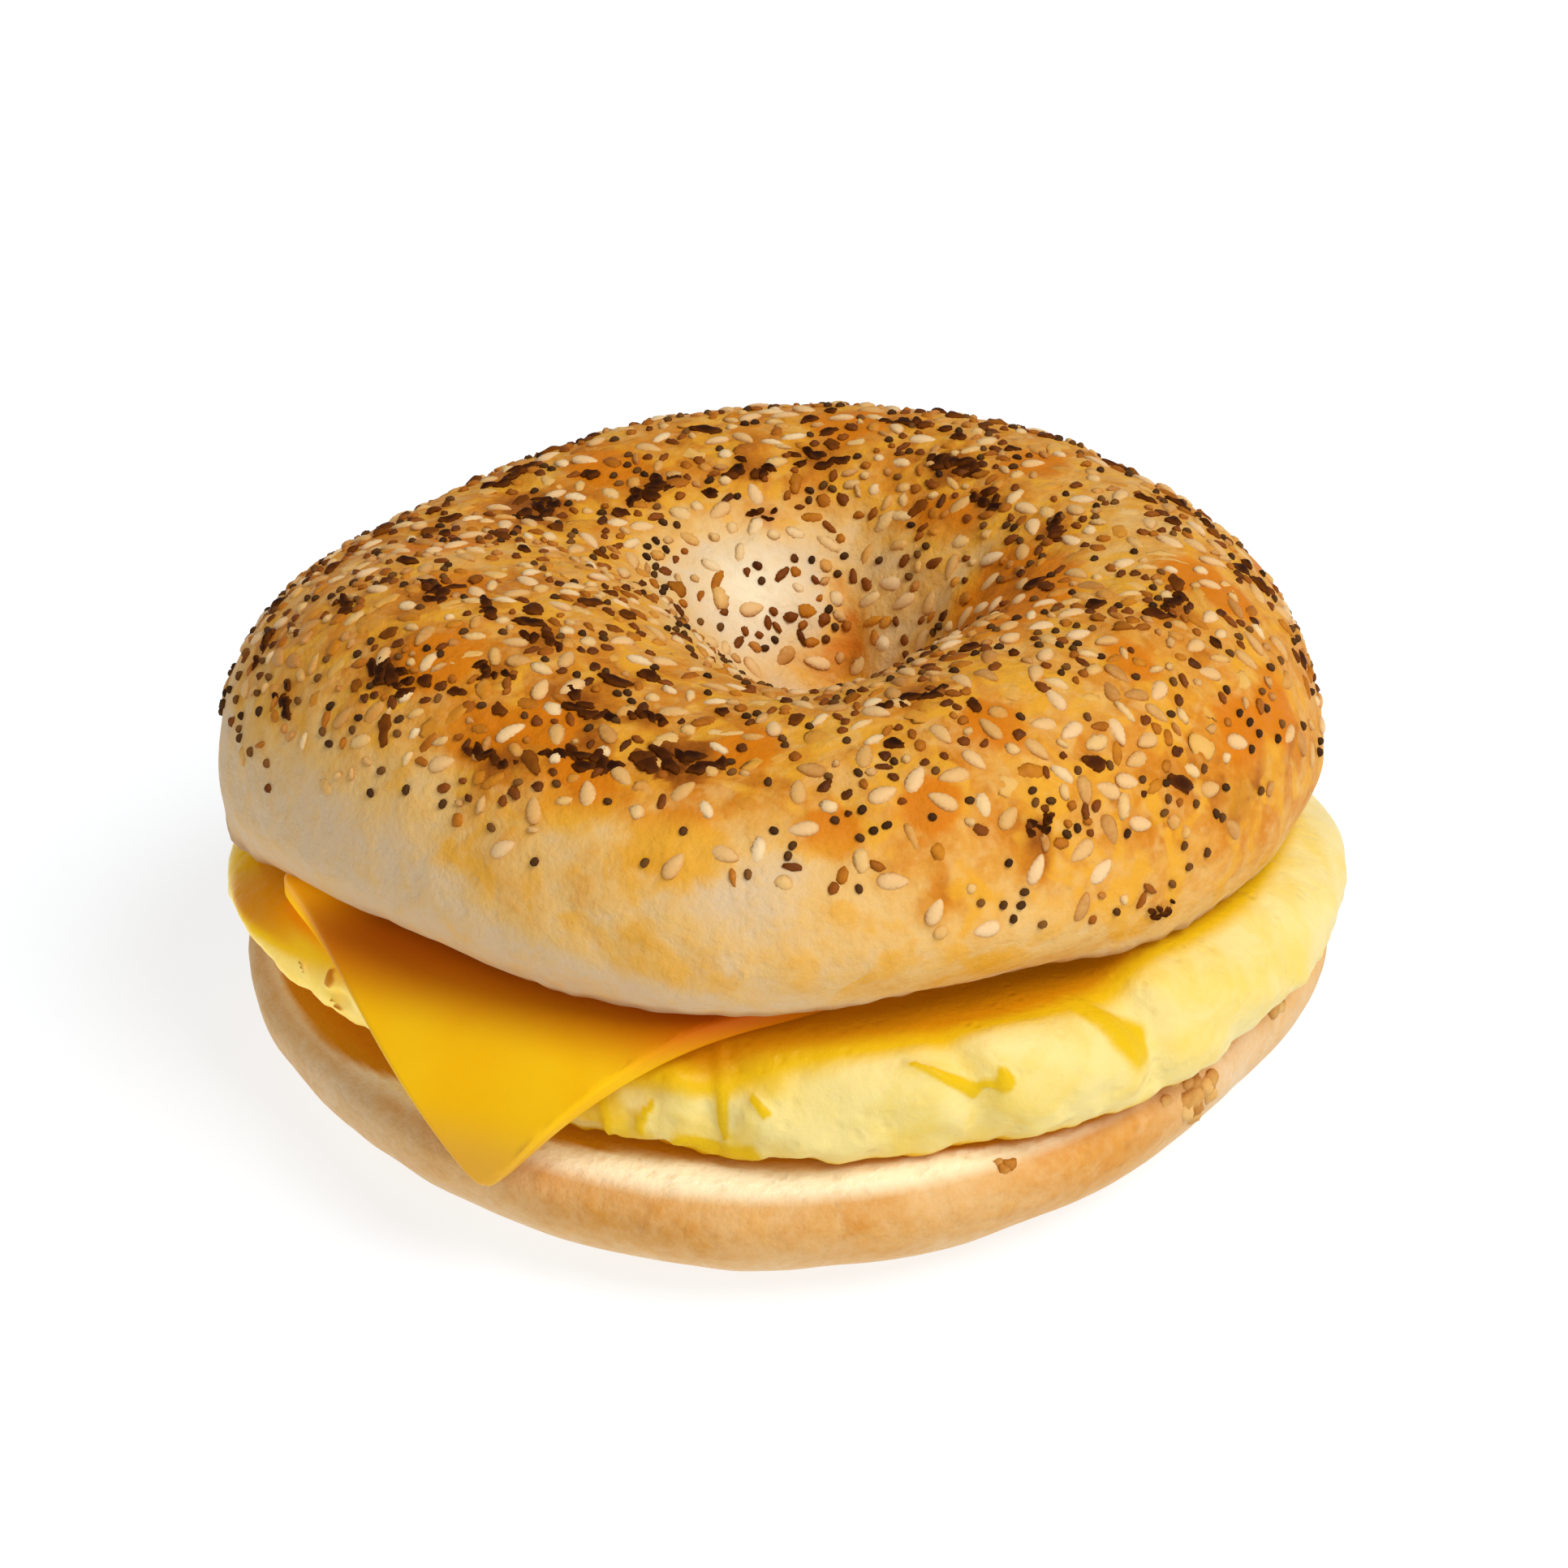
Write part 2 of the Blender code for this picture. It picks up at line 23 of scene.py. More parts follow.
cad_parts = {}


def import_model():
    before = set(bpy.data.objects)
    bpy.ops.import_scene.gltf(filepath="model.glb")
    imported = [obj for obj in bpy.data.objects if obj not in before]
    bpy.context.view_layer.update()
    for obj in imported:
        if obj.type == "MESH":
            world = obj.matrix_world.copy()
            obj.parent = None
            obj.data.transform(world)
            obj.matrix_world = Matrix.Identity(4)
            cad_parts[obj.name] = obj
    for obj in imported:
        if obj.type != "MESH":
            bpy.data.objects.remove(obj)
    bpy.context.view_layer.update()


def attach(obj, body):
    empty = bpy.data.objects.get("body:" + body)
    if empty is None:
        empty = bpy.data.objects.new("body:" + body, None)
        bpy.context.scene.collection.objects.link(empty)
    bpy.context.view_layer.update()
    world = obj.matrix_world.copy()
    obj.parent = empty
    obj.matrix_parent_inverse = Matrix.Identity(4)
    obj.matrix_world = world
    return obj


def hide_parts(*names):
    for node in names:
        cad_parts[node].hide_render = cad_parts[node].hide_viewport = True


log = logging.getLogger("bagel")

Colour = tuple[float, float, float]
Wave = tuple[float, float, float]  # count, share, peak angle
Hump = tuple[float, float, float]  # angle of the middle, half width, height
Size = tuple[float, float, float]  # length, width, thickness
Body = tuple[np.ndarray, np.ndarray, np.ndarray]  # points, faces, nearness of each point to the rim

AXIS = np.array([0.00097, 0.00010, 0.0])  # middle of the food in the frame
CLEAR = 0.0003  # gap between pieces that lie on each other
CRUST_CURVE = 0.022  # usual radius of the upper crust, which the toppings bend to
SAME_POINT = 1e-7  # points nearer than this are one
BLACK: Colour = (0.0, 0.0, 0.0)
WHITE: Colour = (1.0, 1.0, 1.0)


# ---------------------------------------------------------------- numbers on many points


def waves(angle: np.ndarray, terms: tuple[Wave, ...]) -> np.ndarray:
    """Sum soft cosine waves round a ring, at angles in radians."""
    return sum(share * np.cos(count * angle - math.radians(peak)) for count, share, peak in terms)


def bell(off: np.ndarray, width: float) -> np.ndarray:
    """Fall softly from 1 with the distance from a middle."""
    return np.exp(-((off / width) ** 2))


def hump(angle: np.ndarray, at: float, width: float) -> np.ndarray:
    """Give one soft hump round a ring.

    Args:
        angle: Angles in radians.
        at: Angle of the middle in degrees.
        width: Half width in degrees.

    Returns:
        Values from 0 to 1.
    """
    off = (np.degrees(angle) - at + 180.0) % 360.0 - 180.0
    return bell(off, width)


def humps(angle: np.ndarray, terms: tuple[Hump, ...]) -> np.ndarray:
    """Sum soft humps round a ring, each times its height."""
    return sum(height * hump(angle, at, width) for at, width, height in terms)


def smooth(value: np.ndarray) -> np.ndarray:
    """Ease from 0 to 1 with level ends."""
    share = np.clip(value, 0.0, 1.0)
    return share * share * (3.0 - 2.0 * share)


def cloud(points: np.ndarray, size: float, shift: float) -> np.ndarray:
    """Give soft noise for many points.

    Args:
        points: Array whose last axis holds a point.
        size: Size of the noise's features.
        shift: Number that picks another stretch of the noise.

    Returns:
        Values from about -1 to 1.
    """
    flat = (points.reshape(-1, 3) / size + shift).tolist()
    return np.array([noise.noise(point) for point in flat]).reshape(points.shape[:-1])


def outward(points: np.ndarray) -> np.ndarray:
    """Give unit normals of a grid of points that closes on itself across its columns.

    Args:
        points: Rows and columns of points.

    Returns:
        One normal for each point.
    """
    along = np.gradient(points, axis=0)
    across = np.roll(points, -1, axis=1) - np.roll(points, 1, axis=1)
    normal = np.cross(across, along)
    length = np.linalg.norm(normal, axis=-1, keepdims=True)
    return normal / np.maximum(length, 1e-12)


# ---------------------------------------------------------------- meshes


def linked(name: str, data: bpy.types.ID) -> bpy.types.Object:
    """Make an object of some data and link it to the scene."""
    thing = bpy.data.objects.new(name, data)
    bpy.context.scene.collection.objects.link(thing)
    return thing


def keep_fields(mesh: bpy.types.Mesh, fields: dict[str, np.ndarray]) -> None:
    """Keep values for each point in a mesh, by name."""
    for key, values in fields.items():
        made = mesh.attributes.new(key, "FLOAT", "POINT")
        made.data.foreach_set("value", values.astype(np.float32).ravel())


def ring_mesh(
    name: str, points: np.ndarray, loop: bool, fields: dict[str, np.ndarray]
) -> bpy.types.Object:
    """Make one closed body from rows of points that each run once round.

    Args:
        name: Name of the piece.
        points: Rows and columns of points.
        loop: Whether the last row joins the first, or each end shuts in a point.
        fields: Values for each point, by name.

    Returns:
        The piece, linked to the scene.
    """
    rows, columns = points.shape[:2]
    index = np.arange(rows * columns).reshape(rows, columns)
    upper = index if loop else index[:-1]
    lower = np.roll(index, -1, axis=0) if loop else index[1:]
    faces = np.stack([upper, lower, np.roll(lower, -1, axis=1), np.roll(upper, -1, axis=1)], -1)
    mesh = bpy.data.meshes.new(name)
    mesh.from_pydata(points.reshape(-1, 3).tolist(), [], faces.reshape(-1, 4).tolist())
    keep_fields(mesh, {key: np.broadcast_to(values, (rows, columns)) for key, values in fields.items()})
    shell = bmesh.new()
    shell.from_mesh(mesh)
    if not loop:
        bmesh.ops.remove_doubles(shell, verts=shell.verts, dist=SAME_POINT)
    bmesh.ops.recalc_face_normals(shell, faces=shell.faces)
    if shell.calc_volume(signed=True) < 0.0:
        bmesh.ops.reverse_faces(shell, faces=shell.faces)
    shell.to_mesh(mesh)
    shell.free()
    mesh.shade_smooth()
    return linked(name, mesh)


def joined_mesh(name: str, pieces: list[Grain]) -> bpy.types.Object:
    """Make one piece from many small closed bodies.

    Args:
        name: Name of the piece.
        pieces: The bodies.

    Returns:
        The piece, linked to the scene.
    """
    points, faces, tones, edges, start = [], [], [], [], 0
    for grain in pieces:
        points.append(grain.points)
        faces += (grain.faces + start).tolist()
        tones.append(np.full(len(grain.points), grain.tone))
        edges.append(grain.edge)
        start += len(grain.points)
    mesh = bpy.data.meshes.new(name)
    mesh.from_pydata(np.concatenate(points).tolist(), [], faces)
    keep_fields(mesh, {"tone": np.concatenate(tones), "edge": np.concatenate(edges)})
    mesh.shade_smooth()
    return linked(name, mesh)


# ---------------------------------------------------------------- shader maths


class Signal:
    """One output of a shader node that takes part in Python arithmetic."""

    def __init__(self, paint: Paint, socket: bpy.types.NodeSocket) -> None:
        """Keep the socket and the paint that it belongs to."""
        self.paint = paint
        self.socket = socket

    def _maths(self, operation: str, first: Term, second: Term) -> Signal:
        """Add one Math node."""
        node = self.paint.node("ShaderNodeMath", {"operation": operation}, {0: first, 1: second})
        return Signal(self.paint, node.outputs[0])

    def __add__(self, other: Term) -> Signal:
        """Add."""
        return self._maths("ADD", self, other)

    def __radd__(self, other: Term) -> Signal:
        """Add with the sides changed."""
        return self._maths("ADD", other, self)

    def __sub__(self, other: Term) -> Signal:
        """Subtract."""
        return self._maths("SUBTRACT", self, other)

    def __rsub__(self, other: Term) -> Signal:
        """Subtract from a number."""
        return self._maths("SUBTRACT", other, self)

    def __mul__(self, other: Term) -> Signal:
        """Multiply."""
        return self._maths("MULTIPLY", self, other)

    def __rmul__(self, other: Term) -> Signal:
        """Multiply with the sides changed."""
        return self._maths("MULTIPLY", other, self)

    def centred(self) -> Signal:
        """Centre noise on 0, so that it adds as much as it takes away."""
        return self - 0.5

    def between(self, low: float, high: float) -> Signal:
        """Rise smoothly from 0 at low to 1 at high."""
        settings = {"interpolation_type": "SMOOTHSTEP"}
        sockets = {"Value": self, "From Min": low, "From Max": high}
        node = self.paint.node("ShaderNodeMapRange", settings, sockets)
        return Signal(self.paint, node.outputs["Result"])


Term = Signal | float


class Paint:
    """Node tree of one procedural finish."""

    def __init__(self, name: str) -> None:
        """Start with a bare Principled shader and its output."""
        self.material = bpy.data.materials.new(name)
        self.material.use_nodes = True
        self.tree = self.material.node_tree
        self.shader = self.tree.nodes["Principled BSDF"]

    def node(
        self, kind: str, settings: dict[str, object], sockets: dict[str | int, object]
    ) -> bpy.types.Node:
        """Add a node.

        Args:
            kind: The node's type.
            settings: Its own settings, or a ramp's stops.
            sockets: Values or links of its inputs, by name or number.

        Returns:
            The node.
        """
        made = self.tree.nodes.new(kind)
        for name, value in settings.items():
            if name == "stops":
                self._stops(made.color_ramp, value)
            else:
                setattr(made, name, value)
        for name, value in sockets.items():
            self.feed(made.inputs[name], value)
        return made

    def feed(self, socket: bpy.types.NodeSocket, value: object) -> None:
        """Link a signal to a socket, or set the socket's own value."""
        if isinstance(value, Signal):
            self.tree.links.new(value.socket, socket)
        elif isinstance(value, tuple) and socket.type == "RGBA":
            socket.default_value = (*value, 1.0)
        else:
            socket.default_value = value

    @staticmethod
    def _stops(ramp: bpy.types.ColorRamp, stops: tuple[tuple[float, Colour], ...]) -> None:
        """Set a ramp's stops."""
        for place, (position, colour) in enumerate(stops):
            stop = ramp.elements[place] if place < 2 else ramp.elements.new(position)
            stop.position = position
            stop.color = (*colour, 1.0)

    def field(self, name: str) -> Signal:
        """Read a value that the mesh keeps for each point."""
        return Signal(self, self.node("ShaderNodeAttribute", {"attribute_name": name}, {}).outputs["Fac"])

    def place(self) -> Signal:
        """Give the place on the piece."""
        return Signal(self, self.node("ShaderNodeTexCoord", {}, {}).outputs["Object"])

    def noise(self, size: float, detail: float = 2.0, rough: float = 0.5, warp: float = 0.0) -> Signal:
        """Give noise from 0 to 1.

        Args:
            size: Size of its features.
            detail: Number of finer layers.
            rough: Weight of the finer layers.
            warp: How much it is distorted.

        Returns:
            The noise.
        """
        sockets = {"Vector": self.place(), "Scale": 1.0 / size, "Detail": detail, "Roughness": rough}
        node = self.node("ShaderNodeTexNoise", {}, {**sockets, "Distortion": warp})
        return Signal(self, node.outputs["Fac"])

    def cells(self, size: float) -> Signal:
        """Give the distance from the middles of scattered cells, 0 in a middle."""
        sockets = {"Vector": self.place(), "Scale": 1.0 / size}
        node = self.node("ShaderNodeTexVoronoi", {"feature": "F1"}, sockets)
        return Signal(self, node.outputs["Distance"])

    def ramp(self, signal: Signal, stops: tuple[tuple[float, Colour], ...]) -> Signal:
        """Colour a value by stops."""
        node = self.node("ShaderNodeValToRGB", {"stops": stops}, {"Fac": signal})
        return Signal(self, node.outputs["Color"])

    def mix(self, share: Term, low: Signal | Colour, high: Signal | Colour) -> Signal:
        """Mix two colours.

        Args:
            share: How much of the second shows.
            low: First colour.
            high: Second colour.

        Returns:
            The mixed colour.
        """
        node = self.node("ShaderNodeMix", {"data_type": "RGBA"}, {0: share, 6: low, 7: high})
        return Signal(self, node.outputs[2])

    def bump(self, height: Signal, depth: float, under: Signal | None = None) -> Signal:
        """Raise the surface by a height.

        Args:
            height: Heights from 0 to 1.
            depth: Height of 1 in metres.
            under: Coarser bump below this one.

        Returns:
            The bent normal.
        """
        sockets = {"Height": height, "Distance": depth, "Strength": 1.0}
        if under is not None:
            sockets["Normal"] = under
        return Signal(self, self.node("ShaderNodeBump", {}, sockets).outputs["Normal"])

    def finish(self, **sockets: object) -> bpy.types.Material:
        """Feed the shader's sockets, named with underscores for spaces, and give the material."""
        for name, value in sockets.items():
            self.feed(self.shader.inputs[name.replace("_", " ")], value)
        return self.material


# ---------------------------------------------------------------- finishes


@dataclass(frozen=True)
class CrustFinish:
    """Baked crust from pale dough to burnt, bare crumb on the cut faces, painted shade where it meets the
    filling.
    """

    name: str
    pale: Colour = (0.70, 0.50, 0.29)
    straw: Colour = (0.76, 0.46, 0.15)
    golden: Colour = (0.71, 0.335, 0.056)
    amber: Colour = (0.61, 0.212, 0.014)
    brown: Colour = (0.33, 0.090, 0.006)
    dark: Colour = (0.10, 0.022, 0.003)
    crumb: Colour = (0.95, 0.82, 0.57)
    pore: Colour = (0.89, 0.73, 0.47)
    yolk: Colour = (0.77, 0.365, 0.026)
    orange: Colour = (0.64, 0.18, 0.003)
    # Painted shade: this colour darkens the crust where it meets the filling.
    painted_shade: Colour = (0.34, 0.12, 0.010)
    mottle: float = 0.40
    gloss: float = 0.52
    patches: float = 0.85
    # Strength of the emission on that painted shade: painted light, not a lamp.
    painted_light: float = 0.0
    broad_size: float = 0.0065
    spot_size: float = 0.0030
    fine_size: float = 0.0013
    grain_size: float = 0.00045
    freckle_size: float = 0.0024
    patch_size: float = 0.0046
    smudge_size: float = 0.0034
    fleck_size: float = 0.0022
    pore_size: float = 0.0015

    def material(self) -> bpy.types.Material:
        """Make the material."""
        paint = Paint(self.name)
        toast = paint.field("toast")
        crumb = paint.field("crumb")
        broad = paint.noise(self.broad_size, 3.0, 0.6, 0.6)
        spots = paint.noise(self.spot_size, 2.0, 0.5, 0.3)
        fine = paint.noise(self.fine_size, 3.0, 0.6)
        grain = paint.noise(self.grain_size, 2.0, 0.6)
        level = toast + self.mottle * broad.centred() + 0.80 * self.mottle * spots.centred()
        level = level + 0.26 * fine.centred() + 0.10 * grain.centred()
        stops = (
            (0.0, self.pale), (0.24, self.straw), (0.44, self.golden),
            (0.62, self.amber), (0.82, self.brown), (1.0, self.dark),
        )
        colour = paint.ramp(level, stops)
        freckle = 1.0 - paint.cells(self.freckle_size).between(0.10, 0.30)
        freckle = freckle * toast.between(0.30, 0.60)
        colour = paint.mix(0.35 * freckle, colour, self.brown)
        patch = paint.noise(self.patch_size, 2.0, 0.5, 0.8).between(0.46, 0.63)
        patch = patch * toast.between(0.12, 0.35) * (1.0 - toast.between(0.60, 0.80))
        colour = paint.mix(self.patches * patch, colour, self.yolk)
        smudge = paint.noise(self.smudge_size, 2.0, 0.5, 0.5).between(0.52, 0.74)
        colour = paint.mix(0.60 * smudge * toast.between(0.30, 0.46), colour, self.amber)
        fleck = paint.noise(self.fleck_size, 2.0, 0.6, 0.3).between(0.48, 0.72)
        colour = paint.mix(0.50 * fleck * (1.0 - toast.between(0.55, 0.75)), colour, self.straw)
        oiled = paint.field("oil") + 0.5 * spots.centred() + 0.3 * fine.centred()
        oil_colour = paint.mix(toast.between(0.20, 0.50), self.yolk, self.orange)
        colour = paint.mix(0.90 * oiled.between(0.18, 0.62), colour, oil_colour)
        pores = paint.cells(self.pore_size).between(0.0, 0.60)
        colour = paint.mix(crumb, colour, paint.mix(pores, self.pore, self.crumb))
        # Painted shade where the crust meets the filling, by a mask that the mesh keeps.
        painted_shade = paint.field("painted_shade")
        colour = paint.mix(painted_shade, colour, self.painted_shade)
        skin = paint.bump(broad, 0.00040)
        skin = paint.bump(spots, 0.00030, skin)
        skin = paint.bump(fine, 0.00024, skin)
        skin = paint.bump(pores * crumb, 0.00012, skin)
        skin = paint.bump(grain, 0.00006, skin)
        rough = self.gloss + 0.25 * fine.centred() + 0.35 * crumb
        # The emission lights the painted shade a little again: painted light.
        return paint.finish(
            Base_Color=colour, Roughness=rough, Normal=skin, Specular_IOR_Level=0.06,
            Emission_Color=paint.mix(painted_shade, BLACK, self.painted_shade), Emission_Strength=self.painted_light,
            Subsurface_Weight=0.08, Subsurface_Radius=(1.0, 0.5, 0.2), Subsurface_Scale=0.0012,
        )


@dataclass(frozen=True)
class EggFinish:
    """Cooked beaten egg: pale and moist outside, deeper yellow in its folds, with painted shade and light.
    """

    name: str = "cooked_egg"
    pale: Colour = (0.845, 0.685, 0.26)
    soft: Colour = (0.83, 0.61, 0.13)
    fold: Colour = (0.75, 0.475, 0.006)
    # Painted shade under the upper half and along the foot: golden where light, brown where deep.
    gold: Colour = (0.75, 0.46, 0.006)
    painted_shade: Colour = (0.61, 0.235, 0.002)
    brown: Colour = (0.48, 0.18, 0.008)
    # Strength of the emission: painted light, not a lamp.
    painted_light: float = 0.44
    broad_size: float = 0.006
    fine_size: float = 0.0011
    bubble_size: float = 0.0019

    def material(self) -> bpy.types.Material:
        """Make the material."""
        paint = Paint(self.name)
        fold = paint.field("fold")
        shade = paint.field("shade")
        toast = paint.field("toast")
        broad = paint.noise(self.broad_size, 3.0, 0.55, 0.4)
        fine = paint.noise(self.fine_size, 3.0, 0.6)
        colour = paint.mix(broad.between(0.35, 0.72), self.pale, self.soft)
        colour = paint.mix((fold + 0.24 * fine.centred()).between(0.08, 0.74), colour, self.fold)
        # Painted shade by the shade mask: golden first, then brown.
        colour = paint.mix(shade.between(0.0, 0.45), colour, self.gold)
        colour = paint.mix(shade.between(0.40, 1.0), colour, self.painted_shade)
        colour = paint.mix((toast + 0.5 * fine.centred()).between(0.35, 0.8), colour, self.brown)
        bubbles = paint.cells(self.bubble_size).between(0.0, 0.38)
        skin = paint.bump(broad, 0.00030)
        skin = paint.bump(fine, 0.00014, skin)
        skin = paint.bump(bubbles, 0.00010, skin)
        rough = 0.36 + 0.22 * fine.centred()
        # Emission by its mask: painted light on the thin left lip and in the painted shade.
        return paint.finish(
            Base_Color=colour, Roughness=rough, Normal=skin, Specular_IOR_Level=0.12,
            Emission_Color=paint.mix(paint.field("painted_light"), BLACK, colour), Emission_Strength=self.painted_light,
            Subsurface_Weight=0.16, Subsurface_Radius=(1.0, 0.6, 0.15), Subsurface_Scale=0.0018,
        )


@dataclass(frozen=True)
class CheeseFinish:
    """Warm processed cheese, smooth and slightly glossy, with painted shade and painted light."""

    name: str = "warm_cheese"
    body: Colour = (0.885, 0.475, 0.003)
    light: Colour = (0.90, 0.525, 0.006)
    # Duller tan towards the hanging tip: partly a painted sheen, partly the cheese's own colour there.
    tip: Colour = (0.72, 0.37, 0.040)
    # Painted shade under the upper half.
    painted_shade: Colour = (0.54, 0.095, 0.001)
    # Strength of the emission: painted light, not a lamp.
    painted_light: float = 0.50
    broad_size: float = 0.010
    fine_size: float = 0.0009

    def material(self) -> bpy.types.Material:
        """Make the material."""
        paint = Paint(self.name)
        broad = paint.noise(self.broad_size, 2.0, 0.5, 0.2)
        fine = paint.noise(self.fine_size, 2.0, 0.5)
        colour = paint.mix(broad.between(0.3, 0.75), self.body, self.light)
        # Tan tip: partly a painted sheen, partly the cheese's own colour.
        colour = paint.mix(paint.field("tip"), colour, self.tip)
        # Painted shade under the upper half, by the shade mask.
        colour = paint.mix(paint.field("shade"), colour, self.painted_shade)
        skin = paint.bump(broad, 0.00018)
        skin = paint.bump(fine, 0.00003, skin)
        rough = 0.38 + 0.12 * broad.centred()
        # Emission by its mask gives painted light, a little all over and most at the left end.
        return paint.finish(
            Base_Color=colour, Roughness=rough, Normal=skin, Specular_IOR_Level=0.08,
            Emission_Color=paint.mix(paint.field("painted_light"), BLACK, colour), Emission_Strength=self.painted_light,
            Subsurface_Weight=0.20, Subsurface_Radius=(1.0, 0.45, 0.05), Subsurface_Scale=0.0020,
        )


@dataclass(frozen=True)
class ToppingFinish:
    """Seeds, onion or garlic: each piece has its own tone, and its rim another colour."""

    name: str
    tones: tuple[tuple[float, Colour], ...]
    rim: Colour
    rim_share: float = 0.5
    rough: float = 0.48
    grain: float = 0.0004
    depth: float = 0.00005
    shine: float = 0.10

    def material(self) -> bpy.types.Material:
        """Make the material."""
        paint = Paint(self.name)
        fine = paint.noise(self.grain, 3.0, 0.6)
        broad = paint.noise(4.0 * self.grain, 2.0, 0.5)
        level = paint.field("tone") + 0.16 * fine.centred() + 0.20 * broad.centred()
        colour = paint.ramp(level, self.tones)
        colour = paint.mix(self.rim_share * paint.field("edge"), colour, self.rim)
        skin = paint.bump(fine, self.depth)
        return paint.finish(
            Base_Color=colour, Roughness=self.rough + 0.2 * broad.centred(), Normal=skin,
            Specular_IOR_Level=self.shine,
        )


# ---------------------------------------------------------------- upper half


@dataclass(frozen=True)
class Mark:
    """What one topping does to the crust round it: how far it reaches, how it browns and how it lifts."""

    place: np.ndarray
    reach: float
    toast: float
    lift: float


@dataclass
class UpperHalf:
    """Upper half of the bagel: a ring with a nearly closed hole, cut flat below."""

    name: str = "bagel_top_crust"
    radius: float = 0.0511
    height: float = 0.0277
    girth: float = 0.0074
    crest: float = 0.0321
    throat: float = 0.0046
    undercut: float = 0.0044
    undercut_range: tuple[float, float] = (0.0006, 0.0080)
    at: tuple[float, float, float] = (-0.0017, 0.0003, 0.0232)
    lean: tuple[float, float] = (-6.04, -0.92)
    hole_off: float = 0.0070
    hole_off_fade: float = 1.5
    funnel: tuple[float, float] = (2.5, 0.7)
    radius_waves: tuple[Wave, ...] = ((2, 0.0075, 76.0), (3, 0.0126, 186.0), (4, 0.0225, -18.0))
    height_waves: tuple[Wave, ...] = ((2, 0.045, 115.0), (3, 0.016, 255.0), (4, 0.022, 111.0))
    undercut_waves: tuple[Wave, ...] = (
        (1, 0.39, -18.0), (2, 0.27, 160.0), (3, 0.41, -18.0), (4, 0.67, 118.0),
    )
    overhang: Hump = (314.0, 14.0, 0.0034)
    sag: Hump = (264.0, 46.0, 0.0046)
    pinch: Hump = (82.0, 20.0, 0.0030)
    pinch_span: tuple[float, float, float, float] = (0.35, 0.65, 0.80, 1.00)
    dimples: tuple[tuple[float, float, float, float], ...] = (
        (276.0, 0.0175, 0.0115, 0.0018),
        (208.0, 0.0300, 0.0100, 0.0007),
        (318.0, 0.0360, 0.0090, 0.0006),
        (30.0, 0.0340, 0.0110, 0.0008),
    )
    lumps: tuple[tuple[float, float, float], ...] = (
        (0.0105, 0.00038, 3.1), (0.0048, 0.00026, 7.7), (0.0026, 0.00013, 1.3),
    )
    bare_wall: tuple[float, float, float] = (123.0, 1.72, 0.0054)
    pale_rim: tuple[Hump, ...] = ((219.0, 31.0, 0.46), (185.0, 20.0, 0.10))
    late_rim: tuple[Hump, ...] = ((270.0, 34.0, 0.38),)
    low_toast: tuple[Hump, ...] = ((322.0, 30.0, 0.10),)
    side_toast: tuple[Hump, ...] = ((340.0, 26.0, 0.06),)
    crest_toast: tuple[Hump, ...] = ((195.0, 60.0, 0.10), (15.0, 45.0, -0.05))
    hole_pale: tuple[Hump, ...] = ((120.0, 75.0, 0.45),)
    most_round_toppings: float = 0.32
    columns: int = 512
    rows: tuple[int, int, int] = (84, 80, 18)

    def turn(self) -> np.ndarray:
        """Give the turn that leans this half back."""
        about_x = Matrix.Rotation(math.radians(self.lean[0]), 3, "X")
        about_y = Matrix.Rotation(math.radians(self.lean[1]), 3, "Y")
        return np.array(about_y @ about_x)

    def lid(self, x: np.ndarray, y: np.ndarray) -> np.ndarray:
        """Give the height of the cut face over points of the plan, about the food's middle."""
        across, along, upward = self.turn()[:, 2]
        return self.at[2] - (across * (x - self.at[0]) + along * (y - self.at[1])) / upward

    def surface(self, angle: np.ndarray, way: np.ndarray) -> np.ndarray:
        """Give points of this half where it stands.

        Args:
            angle: Angles in radians.
            way: 0..1 from the cut edge to the crest, 1..2 down into the hole, 2..3 back under it.

        Returns:
            Points in the frame.
        """
        rim = self.radius * (1.0 + waves(angle, self.radius_waves))
        height = self.height * (1.0 + waves(angle, self.height_waves))
        height = height - humps(angle, (self.sag,))
        tuck = self.undercut * (1.0 + waves(angle, self.undercut_waves))
        tuck = np.clip(tuck - humps(angle, (self.overhang,)), *self.undercut_range)
        depth = rim - self.crest
        low = np.arccos(1.0 - tuck / depth)
        swing = -low + (math.pi / 2.0 + low) * np.clip(way, 0.0, 1.0)
        radius = self.crest + depth * np.cos(swing)
        upper = self.girth + (height - self.girth) * np.sin(swing)
        lower = self.girth * (1.0 + np.sin(swing) / np.sin(low))
        z = np.where(swing >= 0.0, upper, lower)
        fall = np.clip(way - 1.0, 0.0, 1.0)
        radius = np.where(way > 1.0, self.crest - (self.crest - self.throat) * fall, radius)
        late, bend = self.funnel
        z = np.where(way > 1.0, height * np.maximum(1.0 - fall**late, 0.0) ** bend, z)
        start, full, thin, end = self.pinch_span
        cleft = smooth((fall - start) / (full - start)) * smooth((end - fall) / (end - thin))
        z = z - humps(angle, (self.pinch,)) * cleft
        for at, out, wide, deep in self.dimples:
            gap = np.hypot(radius * np.cos(angle) - out * math.cos(math.radians(at)),
                           radius * np.sin(angle) - out * math.sin(math.radians(at)))
            z = z - deep * bell(gap, wide) * (way < 2.0) * smooth(way * 3.0)
        back = np.clip(way - 2.0, 0.0, 1.0)
        edge = self.crest + depth * np.cos(low)
        radius = np.where(way > 2.0, self.throat + (edge - self.throat) * back, radius)
        z = np.where(way >= 2.0, 0.0, np.maximum(z, 0.0))
        off = self.hole_off * (1.0 - np.clip(radius / rim, 0.0, 1.0)) ** self.hole_off_fade
        flat = np.stack([radius * np.cos(angle) + off, radius * np.sin(angle), z], -1)
        return flat @ self.turn().T + np.array(self.at) + AXIS

